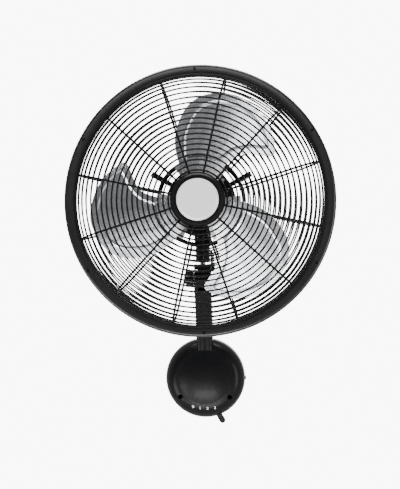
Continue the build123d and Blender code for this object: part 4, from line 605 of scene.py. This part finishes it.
@dataclass
class WireGuard:
    """The two round-wire grilles that close over the blades.

    Attributes:
        shape: The curve of the wires.
        spokes: Number of spokes in each half.
        first_spoke: Angle of the first spoke in degrees.
        edge: Thickness of the heavy wire round each mouth.
        front_first: Distance from the axis of the front half's innermost ring.
        rear_first: The same for the rear half.
        front_inner: Where the front spokes begin.
        rear_inner: Where the rear spokes begin.
        inner_gap: Room between that place and the rear half's heavy inner wire.
        spoke_end: Depth from the rim's plane at which the spokes end.
    """

    shape: GuardShape
    spokes: int = 12
    first_spoke: float = 18.0
    edge: float = 7 * MM
    front_first: float = 58 * MM
    rear_first: float = 92 * MM
    front_inner: float = 40 * MM
    rear_inner: float = 84 * MM
    inner_gap: float = 1 * MM
    spoke_end: float = 1.2 * MM

    def build(self) -> None:
        """Builds and dresses both halves."""
        wire = BLACK_WIRE.material()
        for side in Side:
            half = side.name.lower()
            ring_nodes = [f"{half}_guard_rings", f"{half}_side_rings"]
            dress(self.rings(side), wire, "head", ring_nodes)
            dress(self.spoke_set(side), wire, "head", [f"{half}_guard_spokes"])

    @staticmethod
    def wire_ring(radius: float, y: float, width: float, sides: int = EDGE_SIDES) -> Piece:
        """A ring of round wire about the fan axis."""
        deselect()
        bpy.ops.mesh.primitive_torus_add(
            major_radius=radius, minor_radius=width / 2, major_segments=RING_STEPS,
            minor_segments=sides, location=(0, y, FAN_Z), rotation=(math.pi / 2, 0, 0),
        )
        return bpy.context.object

    def rings(self, side: Side) -> Piece:
        """All rings of one half, with the heavy wire round its mouth."""
        first = self.front_first if side is Side.FRONT else self.rear_first
        pieces = []
        for radius, depth in self.shape.ring_places(first):
            y = RIM_Y + side.value * depth
            pieces.append(self.wire_ring(radius, y, self.shape.ring, WIRE_SIDES))
        pieces.append(self.edge_ring(side))
        if side is Side.REAR:
            pieces.append(self.inner_ring())
        rings = join(pieces, f"{side.name.lower()}_rings_wire")
        smooth(rings, 80)
        return rings

    def edge_ring(self, side: Side) -> Piece:
        """The heavy wire round one half's mouth, outside the ends of the spokes."""
        end = self.shape.place(self.shape.length_to(self.edge / 2))
        radius = end[0] + self.shape.spoke / 2 * math.sin(end[2]) + self.shape.seat + self.edge / 2
        y = RIM_Y + side.value * (self.edge / 2 + self.shape.seat)
        return self.wire_ring(radius, y, self.edge)

    def inner_ring(self) -> Piece:
        """The heavy wire behind the inner ends of the rear spokes, clamped to the motor."""
        radius = self.rear_inner + self.edge / 2 + self.inner_gap
        offset = (self.shape.spoke / 2 + self.shape.seat + self.edge / 2) / math.cos(self.shape.cone)
        depth = self.shape.place(radius)[1] + offset + self.shape.seat
        return self.wire_ring(radius, RIM_Y + depth, self.edge)

    def spoke_set(self, side: Side) -> Piece:
        """The spokes of one half: a round section led along the face and round the bend to the rim.

        Args:
            side: Which half.

        Returns:
            All spokes of the half as one piece.
        """
        shape = self.shape
        inner = self.front_inner if side is Side.FRONT else self.rear_inner
        deselect()
        start = shape.place(inner)
        bpy.ops.mesh.primitive_circle_add(
            vertices=SPOKE_SIDES, radius=shape.spoke / 2, fill_type="NGON",
            location=(start[0], RIM_Y + side.value * start[1], FAN_Z), rotation=(0, math.pi / 2, 0),
        )
        wire = settle(bpy.context.object, "spoke_wire")
        edit(wire)
        bpy.ops.mesh.select_mode(type="FACE")
        self.lead(start, shape.place(shape.straight()), side)
        centre = shape.bend_centre()
        bpy.ops.mesh.spin(
            steps=BEND_STEPS, angle=side.value * (shape.bend_end - shape.cone),
            center=(centre[0], RIM_Y + side.value * centre[1], FAN_Z), axis=(0, 0, 1),
        )
        after_bend = shape.place(shape.straight() + shape.bend * (shape.bend_end - shape.cone))
        self.lead(after_bend, shape.place(shape.length_to(self.spoke_end)), side)
        close_edit()
        tidy_faces(wire)
        angles = [self.first_spoke + index * 360 / self.spokes for index in range(self.spokes)]
        spokes = around_fan(wire, angles, f"{side.name.lower()}_spokes_wire")
        smooth(spokes, 60)
        return spokes

    @staticmethod
    def lead(start: Place, end: Place, side: Side) -> None:
        """Extrudes the selected section from one place of the curve to another."""
        way = (end[0] - start[0], side.value * (end[1] - start[1]), 0)
        bpy.ops.mesh.extrude_region_move(TRANSFORM_OT_translate={"value": way})


@dataclass
class RimBand:
    """The band that clasps both halves of the guard, with its rounded outside and two lips.

    Attributes:
        radius: Outer radius.
        lip: Radius of the lips' edges.
        width: Width along the fan axis.
        wall: Thickness of the sheet.
        rounding: Outer radius of the two rounded corners.
        steps: Number of steps in the turn.
        edge: Width of the broken edges.
    """

    radius: float = 275 * MM
    lip: float = 255 * MM
    width: float = 17.4 * MM
    wall: float = 1.6 * MM
    rounding: float = 6 * MM
    steps: int = 180
    edge: float = 0.4 * MM

    def build(self) -> None:
        """Spins the band's section round the fan axis."""
        half = self.width / 2
        front = (self.radius - self.rounding, RIM_Y - half + self.rounding)
        rear = (self.radius - self.rounding, RIM_Y + half - self.rounding)
        inner = self.rounding - self.wall
        section = [
            (self.lip, RIM_Y - half),
            *arc_points(front, self.rounding, -90, 0), *arc_points(rear, self.rounding, 0, 90),
            (self.lip, RIM_Y + half), (self.lip, RIM_Y + half - self.wall),
            *arc_points(rear, inner, 90, 0), *arc_points(front, inner, 0, -90),
            (self.lip, RIM_Y - half + self.wall),
        ]
        band = lathe("rim_band_coated", section, steps=self.steps)
        apply_modifier(band, "BEVEL", width=self.edge, segments=2, limit_method="ANGLE")
        smooth(band)
        dress(band, RIM_COAT.material(), "head", ["rim_band"])


# ---------------- disc


@dataclass
class CentreDisc:
    """The bare brushed disc that is set into the cap on the guard's middle.

    Attributes:
        radius: Radius of the cap's recess.
        front: Depth of the raised face.
        back: Depth of the flat back.
        play: Gap round the disc in the recess.
        rounding: Radius of the rounded rim.
        drop: Depth of that rounding's centre below the face.
        margin: How far in from the recess the margin ends and the face begins.
        step: Depth of the margin below the face.
        slope: Width of the slope between them.
    """

    radius: float = 41.5 * MM
    front: float = -340.95 * MM
    back: float = -338.45 * MM
    play: float = 0.15 * MM
    rounding: float = 0.8 * MM
    drop: float = 0.9 * MM
    margin: float = 3.2 * MM
    step: float = 0.35 * MM
    slope: float = 0.8 * MM

    def build(self) -> None:
        """Spins the disc's section round the fan axis; the cap itself comes with the refined parts."""
        edge = self.radius - self.play
        rim = (edge - self.rounding, self.front + self.drop)
        section = [
            (0.0, self.back), (edge, self.back), *arc_points(rim, self.rounding, 0, -80, 5),
            (self.radius - self.margin, self.front + self.step),
            (self.radius - self.margin - self.slope, self.front), (0.0, self.front),
        ]
        disc = lathe("brushed_badge_disc", section, closed=False)
        smooth(disc, 20)
        dress(disc, DISC_SHEET.material(), "head", ["badge_disc"])


# ---------------- blades


@dataclass
class BladeSheet:
    """A wide stamped blade: a flat outline, bent to a hollow sheet and pitched.

    The blade is drawn flat with its middle line along +X, bent, then turned to its place.

    Attributes:
        blades: Number of blades.
        middle: Direction of the first blade's middle line in degrees.
        pitch: How far the middle line is pitched.
        curve: Radius of the bend, about a line parallel to the middle line.
        mid_y: Depth of the middle line.
        thickness: Thickness of the sheet.
        raise_height: How far the panel stands ahead of the margin.
        bead: Width of the pressed slope, and of the bead that follows it.
        bead_height: How far the bead's crest stands ahead of the margin.
        fold: Width of the rounding on the pressed folds.
        fold_angle: Folds that turn more than this are rounded.
        arc_steps: Number of steps along the blade's root.
        room: How far ahead of the middle line the flat sheet starts.
        former_sides: Number of sides of the round former that the sheet is thrown onto.
        former_length: Length of the former.
        former_middle: X of the former's middle.
        strip: Width of the strips that the sheet is cut into along the middle line.
        strip_span: How many strips lie on each side of the middle line.
        cross_strip: Length of the strips.
        cross_range: The first cut across the sheet, and the one past the last.
        slack: Points closer than this are merged after the cuts.
        edge_knots: Radius in millimetres and angle in degrees of each knot of the blade's edge.
        panel_knots: The same for the foot of the pressed slope.
    """

    blades: int = 3
    middle: float = 75.0
    pitch: float = math.radians(17)
    curve: float = 620 * MM
    mid_y: float = -268 * MM
    thickness: float = 1.5 * MM
    raise_height: float = 1.6 * MM
    bead: float = 3.6 * MM
    bead_height: float = 2.3 * MM
    fold: float = 1.5 * MM
    fold_angle: float = math.radians(9)
    arc_steps: int = 14
    room: float = 0.2
    former_sides: int = 5400
    former_length: float = 1.0
    former_middle: float = 0.12
    strip: float = 10 * MM
    strip_span: int = 17
    cross_strip: float = 20 * MM
    cross_range: tuple[int, int] = (4, 12)
    slack: float = 0.1 * MM
    edge_knots: tuple[Point2, ...] = (
        (60, -19), (92, -21), (123, -25.4), (147, -34.7), (165, -40.9), (177, -42.6), (187, -39.8),
        (204, -30.8), (218, -19.5), (226, -7), (221, 3), (211, 13), (188, 22.9), (146, 33.5),
        (105, 41), (60, 46.6),
    )
    panel_knots: tuple[Point2, ...] = (
        (88, -12), (104, -15.5), (124, -19.5), (146, -27), (163, -33.5), (176, -36.6), (184, -34.6),
        (196, -27.2), (206, -18), (212, -7), (208, 1.5), (199, 10), (180, 18), (141, 27.5),
        (104, 33.5), (88, 35.5),
    )

    def build(self) -> None:
        """Builds one blade and turns a copy of it to each place."""
        sheet = self.flat_sheet()
        self.bend(sheet)
        for index in range(self.blades):
            blade = copy_turned(sheet, self.middle + index * 360 / self.blades)
            blade.name = f"stamped_blade_{index + 1}"
            smooth(blade, 50)
            apply_modifier(blade, "WEIGHTED_NORMAL", keep_sharp=True)
            dress(blade, BLADE_SHEET.material(), "rotor", [f"blade_{index + 1}"])
        bpy.data.objects.remove(sheet)

    def outline(self, knots: Sequence[Point2]) -> list[Vector]:
        """A smooth closed line through knots, closed by an arc about the fan axis.

        Args:
            knots: Radius in millimetres and angle in degrees of each knot.

        Returns:
            The line's points on the plane y = 0.
        """
        places = [self.polar(radius * MM, angle) for radius, angle in knots]
        points: list[Vector] = []
        for index in range(len(places) - 1):
            before = places[max(index - 1, 0)]
            after = places[min(index + 2, len(places) - 1)]
            points += self.between(before, places[index], places[index + 1], after)
        start, end = knots[-1][1], knots[0][1]
        for step in range(self.arc_steps):
            points.append(self.polar(knots[0][0] * MM, start + (end - start) * step / self.arc_steps))
        return points

    @staticmethod
    def polar(radius: float, angle: float) -> Vector:
        """A point at a radius and an angle in degrees about the fan axis, on the plane y = 0."""
        turn = math.radians(angle)
        return Vector((radius * math.cos(turn), 0, FAN_Z + radius * math.sin(turn)))

    @staticmethod
    def between(
        before: Vector, start: Vector, end: Vector, after: Vector, steps: int = 6
    ) -> list[Vector]:
        """Points of a smooth curve from start up to, but not at, end."""
        out = (end - before) * 0.5
        into = (after - start) * 0.5
        points = []
        for step in range(steps):
            t = step / steps
            weight = 3 * t * t - 2 * t ** 3
            chord = start * (1 - weight) + end * weight
            points.append(chord + out * (t ** 3 - 2 * t * t + t) + into * (t ** 3 - t * t))
        return points

    def flat_sheet(self) -> Piece:
        """The flat blade with its margin, its pressed slope, its bead and its inner panel.

        Returns:
            A single sheet of faces whose vertex group says how far each point is raised.
        """
        sheet = draw_line(self.outline(self.edge_knots), True)
        panel = draw_line(self.outline(self.panel_knots), True)
        sheet = join([sheet, panel], "blade_sheet")
        edit(sheet)
        bpy.ops.mesh.select_mode(type="EDGE")
        bpy.ops.mesh.bridge_edge_loops()
        close_edit()
        self.select_panel_loop(sheet)
        bpy.ops.mesh.edge_face_add()
        sheet.vertex_groups.new(name="raised")
        for weight in (1.0, self.raise_height / self.bead_height):
            bpy.ops.mesh.inset(thickness=self.bead, use_even_offset=False)
            bpy.context.scene.tool_settings.vertex_group_weight = weight
            bpy.ops.object.vertex_group_assign()
        self.cut_strips()
        bpy.ops.mesh.select_all(action="SELECT")
        bpy.ops.mesh.remove_doubles(threshold=self.slack)
        close_edit()
        return sheet

    def select_panel_loop(self, sheet: Piece) -> None:
        """Opens edit mode with only the inner open loop selected."""
        activate(sheet)
        count = len(self.outline(self.edge_knots))
        for index, vertex in enumerate(sheet.data.vertices):
            vertex.select = index >= count
        for edge in sheet.data.edges:
            edge.select = all(index >= count for index in edge.vertices)
        for face in sheet.data.polygons:
            face.select = False
        bpy.ops.object.mode_set(mode="EDIT")

    def cut_strips(self) -> None:
        """Cuts the open sheet into strips along and across, so that it can be bent."""
        for step in range(-self.strip_span, self.strip_span + 1):
            self.cut(Vector((0, 0, FAN_Z + step * self.strip)), Vector((0, 0, 1)))
        for step in range(*self.cross_range):
            self.cut(Vector((step * self.cross_strip, 0, FAN_Z)), Vector((1, 0, 0)))

    @staticmethod
    def cut(place: Vector, normal: Vector) -> None:
        """Cuts through the whole open sheet at a plane."""
        bpy.ops.mesh.select_all(action="SELECT")
        bpy.ops.mesh.bisect(plane_co=place, plane_no=normal)

    def bend(self, sheet: Piece) -> None:
        """Throws the flat sheet onto its former, raises the panel and gives the sheet its thickness."""
        centre_z = FAN_Z + self.curve * math.sin(self.pitch)
        centre_y = self.mid_y + self.curve * math.cos(self.pitch)
        deselect()
        bpy.ops.mesh.primitive_cylinder_add(
            vertices=self.former_sides, radius=self.curve, depth=self.former_length,
            location=(self.former_middle, centre_y, centre_z), rotation=(0, math.pi / 2, 0),
        )
        former = bpy.context.object
        push(sheet, self.mid_y - self.room)
        throw_onto(sheet, former)
        bpy.data.objects.remove(former)
        apply_modifier(
            sheet, "DISPLACE", direction="Y", strength=-self.bead_height, mid_level=0.0,
            vertex_group="raised",
        )
        self.face_front(sheet)
        apply_modifier(
            sheet, "BEVEL", width=self.fold, segments=3, limit_method="ANGLE",
            angle_limit=self.fold_angle,
        )
        apply_modifier(sheet, "SOLIDIFY", thickness=self.thickness, offset=-1.0)

    @staticmethod
    def face_front(sheet: Piece) -> None:
        """Turns the open sheet's faces all one way, towards the viewer."""
        edit(sheet)
        bpy.ops.mesh.normals_make_consistent(inside=False)
        close_edit()
        if sum(face.normal.y for face in sheet.data.polygons) > 0:
            edit(sheet)
            bpy.ops.mesh.flip_normals()
            close_edit()


# ---------------- refined CAD pieces


@dataclass(frozen=True)
class Refined:
    """A piece taken from the CAD mesh, with merged faces, worked edges and its own finish.

    Attributes:
        node: The CAD node it comes from and stands for.
        finish: Its finish.
        slot: Its material slot; not used.
        bevel: Width of the worked edge.
        merge: Points of the CAD mesh closer than this are one point.
        flat: Faces that turn less than this are one face.
        worked: Edges that turn more than this are worked.
    """

    node: str
    finish: Finish
    slot: str
    bevel: float
    merge: ClassVar[float] = 2e-6
    flat: ClassVar[float] = math.radians(0.5)
    worked: ClassVar[float] = math.radians(40)

    def build(self, nodes: dict[str, Piece]) -> Piece:
        """Copies the node, cleans its mesh and works its edges.

        Args:
            nodes: The CAD nodes by name.

        Returns:
            The dressed piece.
        """
        source = nodes[self.node]
        body = source["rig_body"]
        piece = bpy.data.objects.new(f"{self.node}_part", source.data.copy())
        bpy.context.scene.collection.objects.link(piece)
        tidy_faces(piece, self.merge)
        edit(piece)
        bpy.ops.mesh.dissolve_limited(angle_limit=self.flat)
        close_edit()
        apply_modifier(
            piece, "BEVEL", width=self.bevel, segments=2, limit_method="ANGLE", angle_limit=self.worked
        )
        smooth(piece, 32)
        apply_modifier(piece, "WEIGHTED_NORMAL", keep_sharp=True)
        return dress(piece, self.finish.material(), body, [self.node])


@dataclass
class PartsBin:
    """All pieces that keep the CAD's form, grouped by finish."""

    coated: tuple[str, ...] = (
        "base_cover", "wall_plate", "arm", "arm_rear_lid", "tilt_block", "neck", "motor_front_bell",
        "motor_rear_bell", "motor_rear_cover", "guard_spider", "guard_clamps", "front_centre_plate",
        "centre_cap", "crank_arm", "crank_link",
    )
    plastic: tuple[str, ...] = (
        "tilt_knob", "speed_lever", "swing_knob", "speed_switch", "terminal_block",
    )
    zinc: tuple[str, ...] = (
        "foot_bolts", "switch_spindle", "capacitor_strap", "tilt_bolt", "tilt_washers", "tilt_nut",
        "pivot_clip", "motor_bolts", "link_post", "arm_lid_screws",
    )
    screws: tuple[str, ...] = ("base_cover_screws", "rim_screws", "guard_screws")
    steel: tuple[str, ...] = (
        "blade_hub", "hub_nut", "pivot_shaft", "motor_shaft", "motor_bearings", "worm", "crank_gear",
    )

    def build(self, frame: dict) -> None:
        """Builds every refined piece; each is handed the slot that its node has in the record, which it
        doesn't use.
        """
        nodes = frame["nodes"]
        slots = self.slots(frame["record"])
        table: list[tuple[Sequence[str], Finish, float]] = [
            (self.coated, BLACK_COAT, 0.4 * MM),
            (self.plastic, BLACK_PLASTIC, 0.3 * MM),
            (self.zinc, ZINC, 0.15 * MM),
            (self.screws, BLACK_COAT, 0.15 * MM),
            (self.steel, HUB_STEEL, 0.2 * MM),
            (("stator_core", "rotor_core"), CORE_STEEL, 0.2 * MM),
            (("neck_bush", "worm_wheel"), BRONZE, 0.1 * MM),
            (("stator_windings",), COPPER, 0.5 * MM),
            (("gear_case",), CASE_ALLOY, 0.3 * MM),
            (("run_capacitor",), CAN, 0.4 * MM),
            (("blade_rivets",), RIVET, 0.2 * MM),
            (("cable_grommet",), RUBBER, 0.3 * MM),
        ]
        for names, finish, bevel in table:
            for name in names:
                Refined(name, finish, slots[name], bevel).build(nodes)

    @staticmethod
    def slots(record: dict) -> dict[str, str]:
        """The material slot of each node, as the record gives it."""
        return {part["node"]: part["material_slot"] for part in record["subparts"]}


# ---------------- print on the base


@dataclass
class SpeedNumbers:
    """The four speed settings printed in white on the base's dome, above the lever's slot.

    Attributes:
        places: X and Z in millimetres of the middle of each figure, from 0 up.
        height: Height of a figure.
        type_size: Size of the type as a multiple of its figures' height.
        swell: How far the strokes are thickened.
        start_y: Depth ahead of the dome at which the figures start.
        print_height: Height of the print above the dome.
    """

    places: tuple[Point2, ...] = ((-26.6, -62.5), (-11.1, -65.5), (5.8, -66.0), (22.6, -64.5))
    height: float = 6.2 * MM
    type_size: float = 1.4
    swell: float = 0.2 * MM
    start_y: float = -120 * MM
    print_height: float = 0.25 * MM

    def build(self, nodes: dict[str, Piece]) -> None:
        """Sets each figure as type, turns it into a mesh and lays it on the dome.

        Args:
            nodes: The CAD nodes by name; the base cover is laid under the figures.
        """
        dome = nodes["base_cover"]
        figures = [self.figure(str(index), place, dome) for index, place in enumerate(self.places)]
        numbers = join(figures, "speed_numbers_print")
        dress(numbers, PRINT.material(), "base")

    def figure(self, text: str, place: Point2, ground: Piece) -> Piece:
        """One figure, thrown onto the ground piece and lifted by a print's thickness.

        Args:
            text: The figure.
            place: X and Z of its middle in millimetres.
            ground: The piece that it is printed on.

        Returns:
            The figure as a mesh.
        """
        deselect()
        where = (place[0] * MM, self.start_y, place[1] * MM)
        bpy.ops.object.text_add(location=where, rotation=(math.pi / 2, 0, 0))
        figure = bpy.context.object
        figure.data.body = text
        figure.data.size = self.height * self.type_size
        figure.data.align_x = "CENTER"
        figure.data.align_y = "CENTER"
        figure.data.offset = self.swell
        bpy.ops.object.convert(target="MESH")
        figure = settle(bpy.context.object, f"figure_{text}")
        edit(figure)
        bpy.ops.mesh.remove_doubles(threshold=MERGE)
        close_edit()
        throw_onto(figure, ground)
        push(figure, -self.print_height)
        return figure


# ---------------- studio


@dataclass(frozen=True)
class AreaLamp:
    """A rectangular soft light.

    Attributes:
        name: The light's name.
        place: Where it stands.
        target: What it points at.
        width: Width of its face.
        height: Height of its face.
        watts: Its power.
    """

    name: str
    place: Place
    target: Place
    width: float
    height: float
    watts: float

    def build(self) -> None:
        """Sets the light up."""
        deselect()
        bpy.ops.object.light_add(
            type="AREA", location=self.place, rotation=facing(self.place, self.target)
        )
        lamp = bpy.context.object
        lamp.name = self.name
        lamp.data.shape = "RECTANGLE"
        lamp.data.size = self.width
        lamp.data.size_y = self.height
        lamp.data.energy = self.watts


def facing(place: Place, target: Place) -> Euler:
    """The rotation of a light or camera that stands at a place and looks at a target."""
    return (Vector(target) - Vector(place)).to_track_quat("-Z", "Y").to_euler()


HEAD_MIDDLE = (0, -270 * MM, FAN_Z)


@dataclass
class Studio:
    """The pale floor, the white surround, the lights and the camera.

    Attributes:
        floor_size: Width of the floor.
        floor_place: The floor's middle.
        front_level: Strength of the surround in front of the fan.
        side_level: Its strength at the sides.
        wall_level: What the lit wall far behind the fan adds to it.
        front_band: Y of the directions between which the front goes over to the sides.
        wall_band: Y of the directions between which the sides go over to the wall.
        lamps: The lights.
        camera_place: Where the camera stands.
        aim: What it looks at.
        lens: Focal length in millimetres.
        sensor: Width of the camera's sensor in millimetres.
    """

    floor_size: float = 8.0
    floor_place: Place = (0, -1.9, -1.2)
    front_level: float = 0.20
    side_level: float = 1.3
    wall_level: float = 8.0
    front_band: Point2 = (-0.60, -0.05)
    wall_band: Point2 = (0.80, 0.93)
    lamps: tuple[AreaLamp, ...] = (
        AreaLamp("key_right", (1.9, -1.9, -0.1), HEAD_MIDDLE, 0.9, 1.5, 34.0),
        AreaLamp("low_left", (-1.4, -1.9, -0.9), HEAD_MIDDLE, 1.2, 0.8, 32.0),
        AreaLamp("high_front", (-0.2, -2.6, 1.25), HEAD_MIDDLE, 1.3, 0.5, 13.0),
        AreaLamp("top_strip", (0.0, -0.5, 2.0), (0, -0.25, 0.5), 1.8, 0.5, 40.0),
        AreaLamp("low_strip", (-0.1, -2.3, -1.0), (0, -0.05, 0.0), 1.0, 0.35, 26.0),
    )
    camera_place: Place = (0.110, -2.265, 0.302)
    aim: Place = (0.001, -0.265, 0.302)
    lens: float = 73.0
    sensor: float = 36.0

    def build(self) -> None:
        """Builds everything that isn't the fan."""
        self.floor()
        self.surround()
        for lamp in self.lamps:
            lamp.build()
        self.camera()

    def floor(self) -> None:
        """Lays a pale floor well below the fan."""
        deselect()
        bpy.ops.mesh.primitive_plane_add(size=self.floor_size, location=self.floor_place)
        floor = bpy.context.object
        floor.name = "studio_floor"
        floor.data.materials.append(FLOOR_PAINT.material())

    def surround(self) -> None:
        """Makes a soft surround: dim in front of the fan, light at its sides, a lit wall far behind."""
        world = bpy.data.worlds.new("studio_surround")
        world.use_nodes = True
        tree = world.node_tree
        split = add_node(tree, "SeparateXYZ")
        total = add_node(tree, "Math")
        background = tree.nodes["Background"]
        background.inputs["Color"].default_value = (1.0, 1.0, 1.0, 1.0)
        bands = (
            (*self.front_band, self.front_level, self.side_level),
            (*self.wall_band, 0.0, self.wall_level),
        )
        for index, (start, end, low, high) in enumerate(bands):
            ramp = add_node(tree, "MapRange", From_Min=start, From_Max=end, To_Min=low, To_Max=high)
            ramp.interpolation_type = "SMOOTHSTEP"
            connect(tree, (split, "Y", ramp, "Value"), (ramp, "Result", total, index))
        connect(
            tree, (add_node(tree, "TexCoord"), "Generated", split, "Vector"),
            (total, "Value", background, "Strength"),
        )
        bpy.context.scene.world = world

    def camera(self) -> None:
        """Sets the camera up at the photograph's place."""
        deselect()
        bpy.ops.object.camera_add(
            location=self.camera_place, rotation=facing(self.camera_place, self.aim)
        )
        camera = bpy.context.object
        camera.name = "photo_camera"
        camera.data.lens = self.lens
        camera.data.sensor_width = self.sensor
        bpy.context.scene.camera = camera


def main() -> None:
    """Loads the frame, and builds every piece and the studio."""
    logging.basicConfig(level=logging.INFO, format="%(name)s: %(message)s")
    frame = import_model()
    PartsBin().build(frame)
    WireGuard(GuardShape()).build()
    RimBand().build()
    CentreDisc().build()
    BladeSheet().build()
    SpeedNumbers().build(frame["nodes"])
    Studio().build()


if __name__ == "__main__":
    main()
